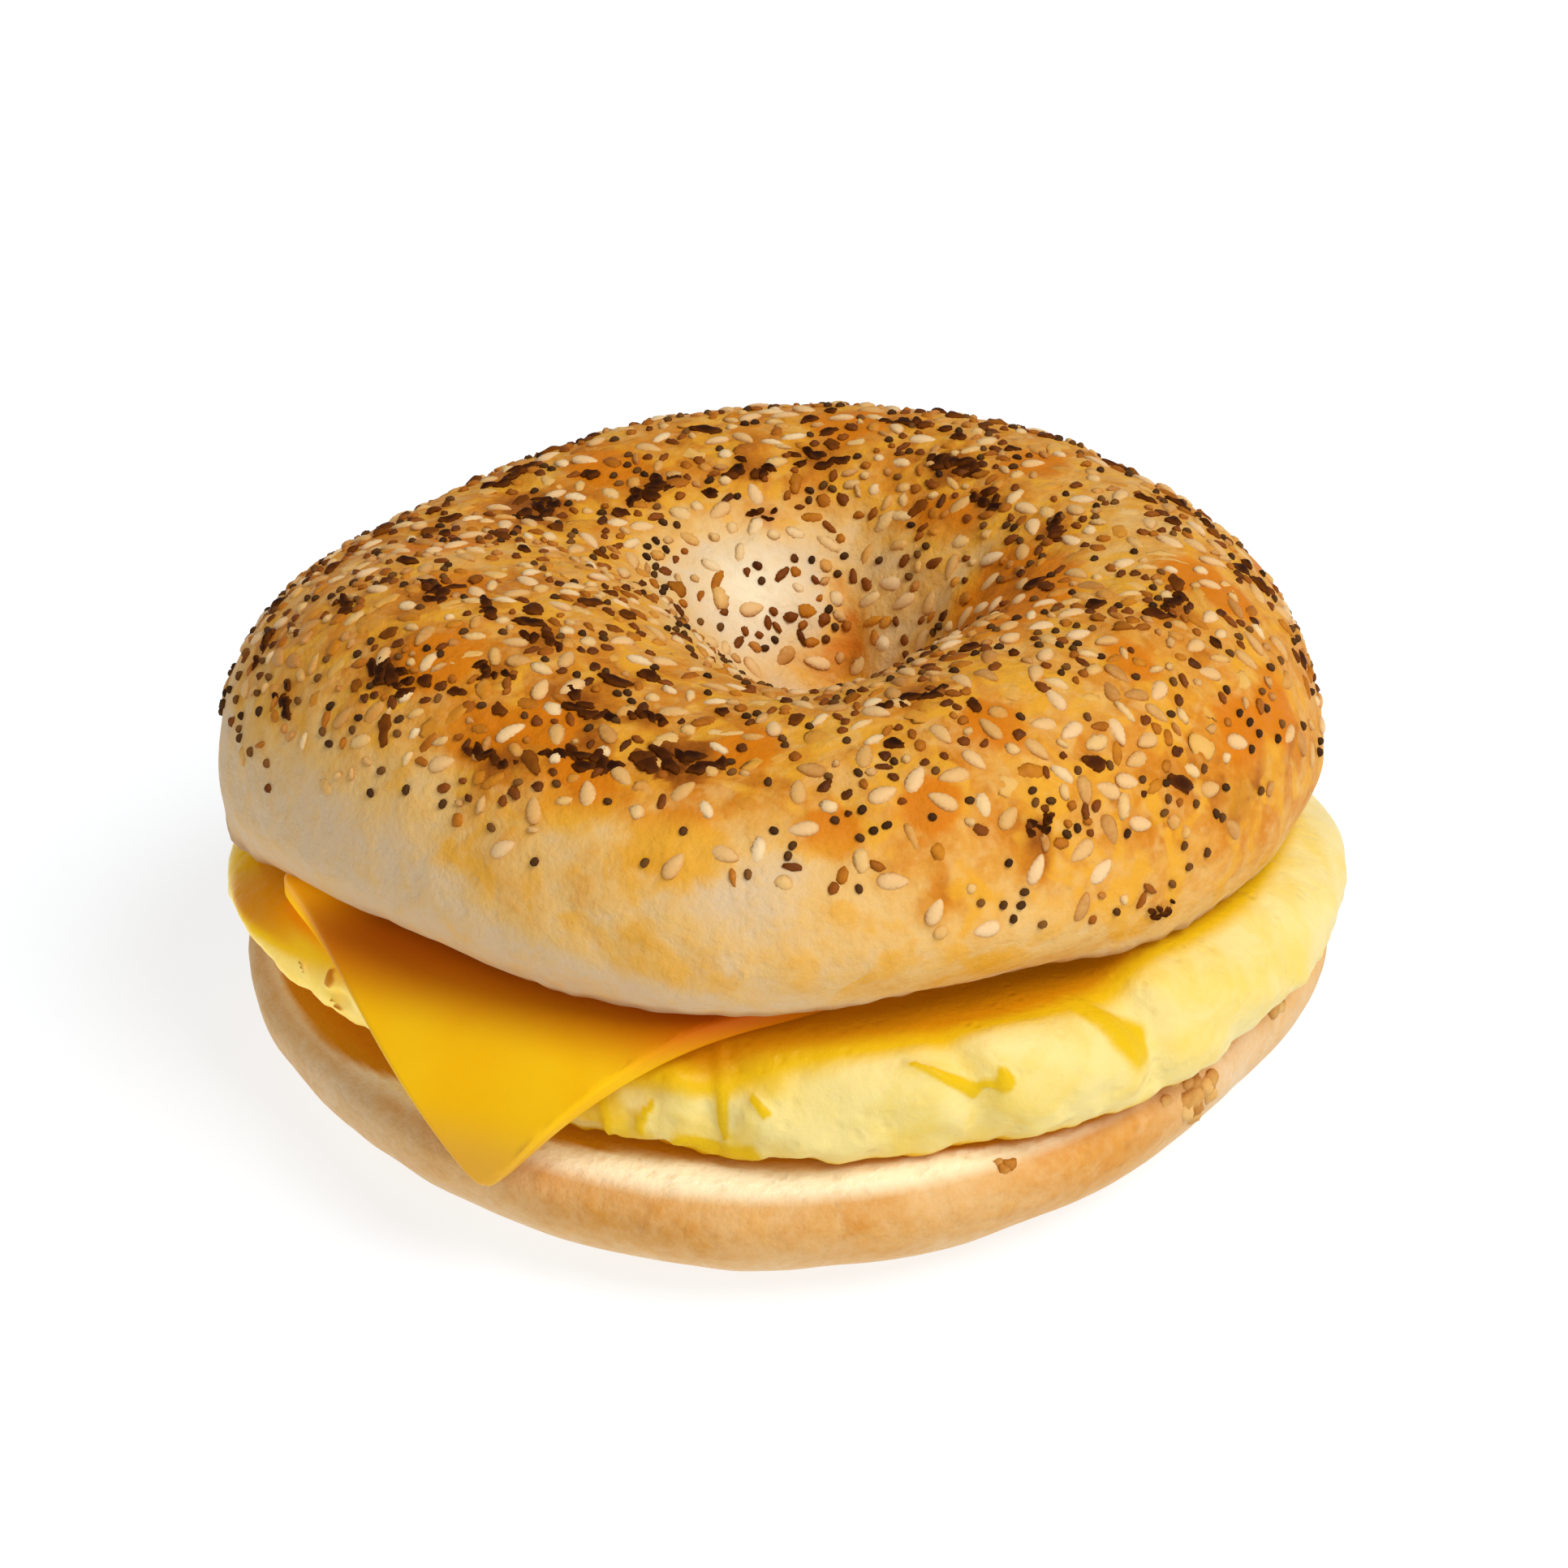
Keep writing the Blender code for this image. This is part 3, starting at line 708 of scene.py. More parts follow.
    def grid(self) -> tuple[np.ndarray, np.ndarray]:
        """Give the angle and way of every point of the fine mesh."""
        out, inside, under = self.rows
        ways = np.concatenate([
            np.arange(out) / out, 1.0 + np.arange(inside) / inside, 2.0 + np.arange(under) / under,
        ])
        angles = np.radians(np.arange(self.columns) * 360.0 / self.columns)
        way, angle = np.meshgrid(ways, angles, indexing="ij")
        return angle, way

    def relief(self, points: np.ndarray, way: np.ndarray) -> np.ndarray:
        """Give how far the crust stands out or in at each point.

        Args:
            points: Points of the plain form.
            way: Their ways.

        Returns:
            Heights along the normal.
        """
        skin = smooth(way / 0.12) * smooth((2.0 - way) / 0.10)
        rolls = sum(high * cloud(points, wide, shift) for wide, high, shift in self.lumps)
        hole = smooth((way - 1.38) / 0.20)
        folds = 0.00060 * hole * cloud(points * np.array([1.0, 1.0, 0.35]), 0.0042, 5.2)
        torn = 0.00030 * cloud(points, 0.0021, 8.1) * (1.0 - smooth(way / 0.10))
        return (rolls + folds) * skin + torn

    def toast(self, points: np.ndarray, angle: np.ndarray, way: np.ndarray) -> np.ndarray:
        """Give how far each point is baked, from 0 for pale dough to 1 for burnt."""
        pale = humps(angle, self.pale_rim)
        late = pale + 0.08 + humps(angle, self.late_rim)
        level = 0.02 + 0.23 * smooth((way - pale) / 0.12) + 0.21 * smooth((way - late) / 0.26)
        level += humps(angle, self.low_toast) * (1.0 - smooth((way - 0.40) / 0.30))
        level += humps(angle, self.side_toast) * bell(way - 0.55, 0.28)
        level += humps(angle, self.crest_toast) * bell(way - 0.95, 0.35)
        level -= 0.36 * smooth((way - 1.42) / 0.24) * (0.55 + humps(angle, self.hole_pale))
        blotches = 0.13 * cloud(points, 0.0125, 9.4) + 0.09 * cloud(points, 0.0050, 2.6)
        level += blotches * smooth((way - pale) / 0.2)
        for at, spot, wide, more in TOAST_SPOTS:
            level += more * self.nearness(points, at, spot, wide)
        return np.clip(level, 0.0, 1.0)

    def nearness(self, points: np.ndarray, at: float, spot: float, wide: float) -> np.ndarray:
        """Give how near points are to a spot on the crust.

        Args:
            points: The points.
            at: The spot's angle in degrees.
            spot: Its way.
            wide: Distance at which it fades.

        Returns:
            Values from 0 far away to 1 at the spot.
        """
        centre = self.surface(np.radians([at]), np.array([spot]))[0]
        return bell(np.linalg.norm(points - centre, axis=-1), wide)

    def build(self, marks: list[Mark]) -> bpy.types.Object:
        """Make the fine mesh.

        Args:
            marks: What each topping does to the crust round it.

        Returns:
            The piece.
        """
        angle, way = self.grid()
        points = self.surface(angle, way)
        toast = self.toast(points, angle, way)
        rise = self.relief(points, way)
        tree = kdtree.KDTree(len(marks))
        for number, mark in enumerate(marks):
            tree.insert(Vector(mark.place), number)
        tree.balance()
        browner, higher = np.zeros(toast.size), np.zeros(toast.size)
        for number, point in enumerate(points.reshape(-1, 3).tolist()):
            for _, found, gap in tree.find_n(point, 4):
                mark = marks[found]
                near = math.exp(-((gap / mark.reach) ** 2))
                browner[number] += mark.toast * near
                higher[number] = max(higher[number], mark.lift * near)
        toast = toast + np.minimum(browner, self.most_round_toppings).reshape(toast.shape)
        rise = rise + higher.reshape(rise.shape) * smooth(way / 0.1) * (way < 2.0)
        points = points + outward(points) * rise[..., None]
        oil = sum(self.nearness(points, at, spot, wide) for at, spot, wide in OIL_SPOTS)
        crumb = np.where(way >= 2.0, 1.0, 0.85 * self.nearness(points, *self.bare_wall))
        # Painted shade on the underside and along the cut edge, where this half lies on the filling.
        painted_shade = np.where(way >= 2.0, 0.5, 0.55 * (1.0 - smooth(way / 0.05)))
        toast, oil = np.clip(toast, 0.0, 1.0), np.clip(oil, 0.0, 1.0)
        fields = {"toast": toast, "crumb": crumb, "painted_shade": painted_shade, "oil": oil}
        return ring_mesh(self.name, points, True, fields)

    def dress(self, piece: bpy.types.Object) -> None:
        """Give the piece its crust."""
        piece.data.materials.append(CrustFinish("toasted_crust").material())


# Places where the crust is browned more, or less: angle, way, width, amount.
TOAST_SPOTS = (
    (350.0, 1.54, 0.0050, 0.42),
    (336.0, 1.42, 0.0050, 0.36),
    (320.0, 1.28, 0.0040, 0.18),
    (258.0, 0.76, 0.0045, 0.24),
    (243.0, 0.80, 0.0055, 0.18),
    (238.0, 0.68, 0.0050, 0.20),
    (216.0, 0.74, 0.0045, 0.20),
    (150.0, 1.10, 0.0070, 0.14),
    (128.0, 1.20, 0.0060, 0.14),
    (85.0, 1.15, 0.0080, 0.12),
    (55.0, 1.28, 0.0060, 0.14),
    (298.0, 0.48, 0.0026, 0.34),
    (287.0, 0.45, 0.0020, 0.34),
    (103.0, 1.55, 0.0020, 0.30),
    (79.0, 1.83, 0.0028, 0.60),
    (80.0, 1.73, 0.0022, 0.48),
    (84.0, 1.66, 0.0014, 0.30),
    (106.0, 1.86, 0.0030, 0.34),
    (189.0, 1.01, 0.0050, -0.18),
    (124.0, 1.72, 0.0070, -0.22),
    (269.0, 0.42, 0.0060, -0.16),
)


# Places where oil has turned the crust orange: angle, way, width.
OIL_SPOTS = (
    (348.0, 1.48, 0.0064),
    (330.0, 1.35, 0.0054),
    (2.0, 1.60, 0.0042),
    (314.0, 1.29, 0.0030),
    (80.0, 1.78, 0.0024),
    (44.0, 1.52, 0.0034),
    (37.0, 1.10, 0.0036),
    (287.0, 0.64, 0.0030),
    (248.0, 0.65, 0.0038),
    (220.0, 0.82, 0.0042),
    (232.0, 0.72, 0.0036),
    (240.0, 0.79, 0.0030),
    (352.0, 0.85, 0.0034),
    (331.0, 0.52, 0.0036),
    (340.0, 0.50, 0.0034),
    (350.0, 0.74, 0.0030),
    (323.0, 0.79, 0.0028),
    (266.0, 0.83, 0.0030),
    (260.0, 0.55, 0.0044),
    (276.0, 0.60, 0.0030),
    (298.0, 0.79, 0.0032),
    (177.0, 0.96, 0.0040),
    (201.0, 0.98, 0.0036),
    (128.0, 1.12, 0.0040),
    (80.0, 1.08, 0.0040),
    (10.0, 0.60, 0.0036),
    (100.0, 0.60, 0.0044),
    (60.0, 0.50, 0.0036),
    (140.0, 0.62, 0.0040),
)


# Places that few toppings stick to: angle, way, width.
SMOOTH_SPOTS = (
    (348.0, 1.48, 0.0060),
    (328.0, 1.33, 0.0046),
    (124.0, 1.72, 0.0060),
    (190.0, 1.08, 0.0036),
    (26.0, 1.02, 0.0040),
)


# ---------------------------------------------------------------- toppings


@dataclass(frozen=True)
class Grain:
    """One small closed body: its points, its faces, its tone and how near each point is to its rim."""

    points: np.ndarray
    faces: np.ndarray
    tone: float
    edge: np.ndarray


@dataclass(frozen=True)
class Perch:
    """Place on the crust with its three directions."""

    point: np.ndarray
    normal: np.ndarray
    first: np.ndarray
    second: np.ndarray


class Kind(Enum):
    """Kinds of topping, each with the name of its piece."""

    SESAME = "sesame_seeds"
    POPPY = "poppy_seeds"
    BURNT = "burnt_onion"
    GOLDEN = "golden_onion"
    GARLIC = "garlic_bits"
    CRUMB = "onion_crumbs"


@dataclass(frozen=True)
class Recipe:
    """How many pieces of one kind there are, their size and how they lie."""

    kind: Kind
    size: Size
    count: int
    seed: int
    apart: float
    spread: float


def ball(rings: int, sides: int) -> tuple[np.ndarray, np.ndarray]:
    """Make a unit ball of triangles, its poles on the X axis.

    Args:
        rings: Rings between the poles.
        sides: Points in a ring.

    Returns:
        Points and faces.
    """
    points = [(-0.5, 0.0, 0.0)]
    for ring in range(1, rings + 1):
        swing = math.pi * ring / (rings + 1)
        for side in range(sides):
            turn = 2.0 * math.pi * (side + 0.5 * (ring % 2)) / sides
            reach = 0.5 * math.sin(swing)
            points.append((-0.5 * math.cos(swing), reach * math.cos(turn), reach * math.sin(turn)))
    points.append((0.5, 0.0, 0.0))
    faces = []
    last = len(points) - 1
    for side in range(sides):
        after = (side + 1) % sides
        faces.append((0, 1 + side, 1 + after))
        tail = 1 + (rings - 1) * sides
        faces.append((last, tail + after, tail + side))
        for ring in range(rings - 1):
            a, b = 1 + ring * sides + side, 1 + ring * sides + after
            c, d = a + sides, b + sides
            if ring % 2 == 0:
                faces += [(a, c, b), (b, c, d)]
            else:
                faces += [(a, c, d), (a, d, b)]
    return np.array(points), np.array(faces)


class Bed:
    """Fine net of places on the upper half that toppings are drawn from."""

    THICK_FROM: tuple[Hump, ...] = ((225.0, 38.0, 0.24), (277.0, 25.0, 0.32), (342.0, 18.0, 0.20))
    FIRST_FROM: tuple[Hump, ...] = ((225.0, 38.0, 0.36), (277.0, 25.0, 0.24), (342.0, 18.0, 0.20))
    CELL = 0.004

    def __init__(self, half: UpperHalf) -> None:
        """Lay the net over the crust."""
        self.half = half
        ways = np.linspace(0.06, 1.86, 361)
        angles = np.radians(np.arange(0.0, 360.0, 0.5))
        self.way, self.angle = np.meshgrid(ways, angles, indexing="ij")
        self.points = half.surface(self.angle, self.way)
        self.normals = outward(self.points)
        upward = self.normals[len(ways) // 2, 0, 2]
        if upward < 0.0:
            self.normals = -self.normals
        step_way = np.gradient(self.points, axis=0)
        step_turn = np.roll(self.points, -1, axis=1) - self.points
        self.area = np.linalg.norm(np.cross(step_way, step_turn), axis=-1)
        self.patch = cloud(self.points, 0.0090, 4.4)
        self.room = np.ones_like(self.way)
        for at, spot, wide in SMOOTH_SPOTS:
            self.room *= 1.0 - 0.90 * half.nearness(self.points, at, spot, wide)
        self.taken: list[tuple[np.ndarray, float]] = []
        self.cells: dict[tuple[int, int, int], list[int]] = {}

    def density(self, kind: Kind) -> np.ndarray:
        """Give how thickly a kind of topping lies over the net.

        Args:
            kind: The kind of topping.

        Returns:
            A weight for each place.
        """
        angle, way = self.angle, self.way
        right = hump(angle, 318.0, 48.0)
        full = smooth((way - 0.30 - humps(angle, self.THICK_FROM)) / 0.16) * self.room
        lower = smooth((way - 0.12 - humps(angle, self.FIRST_FROM)) / 0.08)
        lower = lower * (0.10 + 0.10 * hump(angle, 277.0, 25.0))
        hole = 1.0 - 0.75 * smooth((way - 1.42) / 0.18)
        clump = 0.45 + 1.1 * smooth(0.5 + 1.6 * self.patch)
        if kind is Kind.SESAME:
            behind = hump(angle, 92.0, 62.0) * smooth((way - 1.10) / 0.20)
            thin = (0.7 + 0.6 * right) * (0.8 + 0.2 * clump) * (1.0 - 0.55 * behind)
            return (lower + full * hole) * thin
        if kind is Kind.POPPY:
            return (0.7 * lower + full * (0.25 + 0.75 * hole)) * clump**1.4 * (0.9 + 0.2 * right)
        if kind is Kind.BURNT:
            crest = bell(way - 0.95, 0.36)
            return (0.10 * lower + full * hole * (0.3 + crest)) * clump**2 * (1.0 - 0.70 * right)
        if kind is Kind.GOLDEN:
            return (0.05 * lower + full) * (0.6 + 0.4 * clump) * (way < 1.36)
        if kind is Kind.CRUMB:
            return (0.25 * lower + full * (0.3 + 0.7 * hole)) * clump * (1.0 - 0.30 * right)
        return (0.6 * lower + full * (0.25 + 0.75 * hole)) * (1.0 - 0.15 * right)

    def free(self, point: np.ndarray, room: float) -> bool:
        """Say whether a place is clear of all that lies here, and take it if so.

        Args:
            point: The place.
            room: Half of the distance to keep from a like piece.

        Returns:
            Whether it was clear.
        """
        home = tuple(int(v) for v in np.floor(point / self.CELL))
        for step in product((-1, 0, 1), repeat=3):
            near = tuple(at + by for at, by in zip(home, step))
            for found in self.cells.get(near, ()):
                other, need = self.taken[found]
                if np.linalg.norm(point - other) < room + need:
                    return False
        self.cells.setdefault(home, []).append(len(self.taken))
        self.taken.append((point, room))
        return True

    def seat(self, row: int, column: int) -> Perch:
        """Give the place and directions at one knot of the net."""
        normal = self.normals[row, column]
        first = self.points[row, (column + 1) % self.points.shape[1]] - self.points[row, column]
        first = first - normal * float(first @ normal)
        first = first / np.linalg.norm(first)
        point = self.points[row, column]
        rise = self.half.relief(point[None], self.way[row, column])
        return Perch(point + normal * float(rise[0]), normal, first, np.cross(normal, first))

    def at(self, angle: float, way: float) -> Perch:
        """Give the knot nearest to an angle and a way."""
        row = int(np.argmin(np.abs(self.way[:, 0] - way)))
        column = int(round(angle / 0.5)) % self.points.shape[1]
        return self.seat(row, column)

    def draw(self, recipe: Recipe) -> list[Perch]:
        """Draw seeded places for one kind of topping.

        Args:
            recipe: The kind, its count and how far apart its pieces stay.

        Returns:
            The places.
        """
        rng = np.random.default_rng(recipe.seed)
        weight = (self.area * np.clip(self.density(recipe.kind), 0.0, None)).ravel()
        tries = rng.choice(weight.size, size=recipe.count * 6, p=weight / weight.sum())
        seats = []
        for knot in tries:
            row, column = divmod(int(knot), self.points.shape[1])
            if self.free(self.points[row, column], recipe.apart / 2.0):
                seats.append(self.seat(row, column))
            if len(seats) == recipe.count:
                break
        return seats


# Clumps of burnt onion that stand out: angle, way, length, width.
BURNT_PLACES = (
    (258.0, 0.77, 0.0082, 0.0036),
    (243.0, 0.87, 0.0056, 0.0052),
    (216.0, 0.74, 0.0066, 0.0036),
    (246.0, 0.73, 0.0076, 0.0030),
    (236.0, 0.67, 0.0058, 0.0026),
    (228.0, 0.99, 0.0046, 0.0028),
    (228.0, 0.85, 0.0044, 0.0024),
    (251.0, 0.88, 0.0034, 0.0034),
    (202.0, 0.57, 0.0038, 0.0030),
    (203.0, 0.93, 0.0062, 0.0026),
    (189.0, 0.52, 0.0044, 0.0028),
    (139.0, 0.91, 0.0068, 0.0036),
    (151.0, 1.14, 0.0074, 0.0044),
    (128.0, 1.31, 0.0066, 0.0034),
    (104.0, 1.35, 0.0044, 0.0050),
    (88.0, 1.34, 0.0042, 0.0046),
    (70.0, 1.02, 0.0060, 0.0030),
    (52.0, 1.29, 0.0066, 0.0036),
    (33.0, 1.40, 0.0050, 0.0036),
    (9.0, 1.27, 0.0046, 0.0034),
    (289.0, 0.93, 0.0070, 0.0018),
    (214.0, 0.98, 0.0040, 0.0030),
    (196.0, 0.76, 0.0042, 0.0030),
    (340.0, 0.85, 0.0050, 0.0022),
    (299.0, 0.54, 0.0030, 0.0022),
    (314.0, 0.16, 0.0030, 0.0020),
    (106.0, 1.53, 0.0028, 0.0024),
)


@dataclass
class Toppings:
    """All that is strewn over the upper half, in one piece for each kind."""

    bed: Bed
    recipes: tuple[Recipe, ...] = (
        Recipe(Kind.GOLDEN, (0.0036, 0.0025, 0.00045), 110, 20, 0.0034, 0.50),
        Recipe(Kind.BURNT, (0.0022, 0.0015, 0.0007), 130, 21, 0.0022, 0.50),
        Recipe(Kind.SESAME, (0.0029, 0.0017, 0.0009), 300, 22, 0.0024, 0.08),
        Recipe(Kind.GARLIC, (0.0019, 0.0014, 0.0008), 520, 23, 0.0016, 0.50),
        Recipe(Kind.CRUMB, (0.0012, 0.0009, 0.0007), 1200, 25, 0.0010, 0.50),
        Recipe(Kind.POPPY, (0.00095, 0.00083, 0.00078), 1080, 24, 0.00092, 0.12),
    )

    @staticmethod
    def flake(size: Size, ragged: float, pick: random.Random) -> Body:
        """Make one thin, curled flake with a ragged outline, flat on its own plane.

        Args:
            size: Its length, width and thickness.
            ragged: How uneven its outline is.
            pick: Source of its chances.

        Returns:
            Points, faces and how near each point is to its rim.
        """
        unit, faces = ball(5, 20)
        unit = unit[:, [2, 1, 0]]
        turn = np.arctan2(unit[:, 1], unit[:, 0])
        outline = np.ones_like(turn)
        for count in (2, 3, 5, 7, 9):
            tooth = ragged * pick.uniform(0.4, 1.0) / count**0.6
            outline += tooth * np.cos(count * turn + pick.uniform(0.0, 6.3))
        outline = np.clip(outline, 0.35, 1.6)
        reach = 2.0 * np.hypot(unit[:, 0], unit[:, 1])
        pull = 1.0 + (outline - 1.0) * np.clip(reach, 0.0, 1.0) ** 2
        shaped = unit * np.stack([pull, pull, np.ones_like(pull)], -1) * np.array(size)
        curl = pick.uniform(-0.02, 0.06) * size[0]
        shaped[:, 2] += curl * reach**2 * np.cos(2.0 * turn + pick.uniform(0.0, 6.3))
        shaped[:, 2] += 0.45 * size[2] * cloud(shaped, 0.0011, pick.uniform(0.0, 90.0))
        return shaped, faces, np.clip(reach, 0.0, 1.0) ** 3

    @staticmethod
    def chunk(size: Size, rough: float, pick: random.Random) -> Body:
        """Make one chunky bit, with the same arguments and results as a flake."""
        unit, faces = ball(5, 9)
        uneven = 1.0 + rough * cloud(unit, 0.45, pick.uniform(0.0, 90.0))
        shaped = unit * uneven[:, None] * np.array(size)
        return shaped, faces, np.clip(1.0 - 2.2 * np.abs(unit[:, 2]), 0.0, 1.0)

    @staticmethod
    def seed(size: Size, pick: random.Random) -> Body:
        """Make one drop-shaped sesame seed, tilted a little."""
        unit, faces = ball(7, 10)
        along = unit[:, 0] + 0.5
        slim = 1.14 - 0.52 * along**1.6
        shaped = unit * np.stack([np.ones_like(slim), slim, 0.75 + 0.25 * slim], -1) * np.array(size)
        roll = Matrix.Rotation(pick.uniform(-0.20, 0.20), 3, "X")
        pitch = Matrix.Rotation(pick.uniform(-0.12, 0.12), 3, "Y")
        # Nearness to the base, where the seed meets the crust; the finish darkens it there as painted
        # contact shade.
        edge = np.clip(1.0 - 2.6 * np.maximum(unit[:, 2], 0.0), 0.0, 1.0) ** 1.5
        return shaped @ np.array(roll @ pitch).T, faces, edge

    @staticmethod
    def kidney(size: Size) -> Body:
        """Make one poppy seed with its dent."""
        unit, faces = ball(4, 7)
        dent = 1.0 - 0.22 * bell(unit[:, 0], 0.18) * (unit[:, 1] > 0.0)
        shaped = unit * np.stack([np.ones_like(dent), dent, np.ones_like(dent)], -1) * np.array(size)
        return shaped, faces, np.zeros(len(unit))

    def piece(self, kind: Kind, size: Size, pick: random.Random) -> Body:
        """Make one body of a kind, flat on its own plane."""
        if kind is Kind.SESAME:
            return self.seed(size, pick)
        if kind is Kind.POPPY:
            return self.kidney(size)
        if kind is Kind.BURNT:
            return self.flake(size, 0.32, pick)
        if kind is Kind.GOLDEN:
            return self.flake(size, 0.22, pick)
        if kind is Kind.CRUMB:
            return self.chunk(size, 0.45, pick)
        return self.chunk(size, 0.32, pick)

    @staticmethod
    def laid(seat: Perch, parts: Body, spin: float, rise: float, tone: float) -> Grain:
        """Turn a small body and lay it on the crust, bent to the crust's own curve.

        Args:
            seat: Where it lies.
            parts: Its points flat on its own plane, its faces, and how near each point is to its rim.
            spin: Its turn in degrees.
            rise: How high its middle stands over the crust.
            tone: Its tone, 0 to 1.

        Returns:
            The body in the frame.
        """
        points, faces, edge = parts
        swing = math.radians(spin)
        x = points[:, 0] * math.cos(swing) - points[:, 1] * math.sin(swing)
        y = points[:, 0] * math.sin(swing) + points[:, 1] * math.cos(swing)
        z = points[:, 2] + rise - (x * x + y * y) / (2.0 * CRUST_CURVE)
        steps = x[:, None] * seat.first + y[:, None] * seat.second + z[:, None] * seat.normal
        return Grain(seat.point + steps, faces, tone, edge)

    def build(self) -> dict[Kind, list[Grain]]:
        """Draw every place and make every piece.

        Returns:
            The small bodies by kind.
        """
        made: dict[Kind, list[Grain]] = {kind: [] for kind in Kind}
        self.marks: list[Mark] = []
        pick = random.Random(17)
        for place in BURNT_PLACES:
            made[Kind.BURNT] += self.clump(place, pick)
        for recipe in self.recipes:
            habit = HABITS[recipe.kind]
            for seat in self.bed.draw(recipe):
                length, width, thick = recipe.size
                length *= 1.0 + pick.uniform(-recipe.spread, recipe.spread)
                width *= 1.0 + 0.6 * pick.uniform(-recipe.spread, recipe.spread)
                parts = self.piece(recipe.kind, (length, width, thick), pick)
                spin, tone = pick.uniform(0.0, 360.0), pick.random()
                made[recipe.kind].append(self.laid(seat, parts, spin, habit.rise, tone))
                if habit.lift > 0.0:
                    self.marks.append(Mark(seat.point, habit.reach * length, habit.toast, habit.lift))
        return made

    def clump(self, place: tuple[float, float, float, float], pick: random.Random) -> list[Grain]:
        """Make one clump of burnt onion out of small ragged flakes.

        Args:
            place: Its angle, way, length and width.
            pick: Source of its chances.

        Returns:
            Its flakes.
        """
        angle, way, length, width = place
        middle = self.bed.at(angle, way)
        self.marks.append(Mark(middle.point, 0.50 * length, 0.22, 0.0001))
        self.bed.free(middle.point, 0.35 * width)
        flakes = []
        count = 9 if length > 0.0060 else 6
        for number in range(count):
            along = length * (number / (count - 1.0) - 0.5) * 0.85
            across = width * pick.uniform(-0.28, 0.28)
            step = middle.first * along + middle.second * across
            fall = middle.normal * float(step @ step) / (2.0 * CRUST_CURVE)
            seat = replace(middle, point=middle.point + step - fall)
            long = pick.uniform(0.30, 0.48) * (length + width) * 0.5
            parts = self.flake((long, long * pick.uniform(0.45, 0.75), 0.0008), 0.36, pick)
            spin, tone = pick.uniform(-70.0, 70.0), 0.5 * pick.random() ** 1.5
            flakes.append(self.laid(seat, parts, spin, 0.00012, tone))
        return flakes

    def dress(self, made: dict[Kind, list[Grain]]) -> list[bpy.types.Object]:
        """Join each kind into one piece and give it its finish.

        Args:
            made: The small bodies by kind.

        Returns:
            The pieces.
        """
        pieces = []
        for kind, grains in made.items():
            piece = joined_mesh(kind.value, grains)
            piece.data.materials.append(TOPPING_FINISHES[kind].material())
            pieces.append(piece)
        return pieces


@dataclass(frozen=True)
class Habit:
    """How one kind lies: its rise over the crust, and what it does to the crust round it."""

    rise: float
    reach: float
    toast: float
    lift: float


HABITS = {
    Kind.SESAME: Habit(rise=0.00005, reach=0.52, toast=0.10, lift=0.00022),
    Kind.POPPY: Habit(rise=0.00012, reach=0.0, toast=0.0, lift=0.0),
    Kind.BURNT: Habit(rise=0.00014, reach=0.70, toast=0.12, lift=0.00012),
    Kind.GOLDEN: Habit(rise=-0.00002, reach=0.55, toast=0.04, lift=0.00018),
    Kind.GARLIC: Habit(rise=0.00004, reach=0.65, toast=0.06, lift=0.00018),
    Kind.CRUMB: Habit(rise=0.00008, reach=0.0, toast=0.0, lift=0.0),
}

TOPPING_FINISHES = {
    # Its rim colour is painted contact shade round the base of each seed.
    Kind.SESAME: ToppingFinish(
        "sesame",
        ((0.0, (0.82, 0.56, 0.29)), (0.45, (0.77, 0.47, 0.19)), (0.80, (0.68, 0.37, 0.11)),
         (1.0, (0.50, 0.21, 0.04))),
        rim=(0.46, 0.17, 0.02), rim_share=0.70, shine=0.12,
    ),
    Kind.POPPY: ToppingFinish(
        "poppy",
        ((0.0, (0.044, 0.018, 0.006)), (0.6, (0.100, 0.040, 0.010)), (1.0, (0.22, 0.088, 0.018))),
        rim=(0.06, 0.03, 0.01), rough=0.60, grain=0.0002, depth=0.00004, shine=0.05,
    ),
    Kind.BURNT: ToppingFinish(
        "burnt_onion",
        ((0.0, (0.014, 0.003, 0.001)), (0.40, (0.056, 0.012, 0.0015)), (0.72, (0.17, 0.044, 0.003)),
         (1.0, (0.36, 0.12, 0.009))),
        rim=(0.30, 0.080, 0.005), rim_share=0.36, rough=0.60, grain=0.0006, depth=0.00012, shine=0.04,
    ),
    Kind.GOLDEN: ToppingFinish(
        "golden_onion",
        ((0.0, (0.79, 0.51, 0.20)), (0.30, (0.75, 0.42, 0.10)), (0.70, (0.69, 0.31, 0.035)),
         (1.0, (0.52, 0.17, 0.006))),
        rim=(0.62, 0.26, 0.024), rim_share=0.35, grain=0.0007, depth=0.00010,
    ),
    Kind.GARLIC: ToppingFinish(
        "toasted_garlic",
        ((0.0, (0.84, 0.62, 0.34)), (0.45, (0.76, 0.46, 0.15)), (0.75, (0.60, 0.22, 0.012)),
         (1.0, (0.34, 0.09, 0.004))),
        rim=(0.45, 0.15, 0.008), rim_share=0.35, grain=0.0005, depth=0.0001,
    ),
    Kind.CRUMB: ToppingFinish(
        "onion_crumb",
        ((0.0, (0.060, 0.013, 0.002)), (0.40, (0.23, 0.055, 0.004)), (0.70, (0.48, 0.15, 0.008)),
         (1.0, (0.76, 0.48, 0.18))),
        rim=(0.30, 0.10, 0.008), rim_share=0.3, grain=0.0005, depth=0.0001,
    ),
}


# ---------------------------------------------------------------- cheese


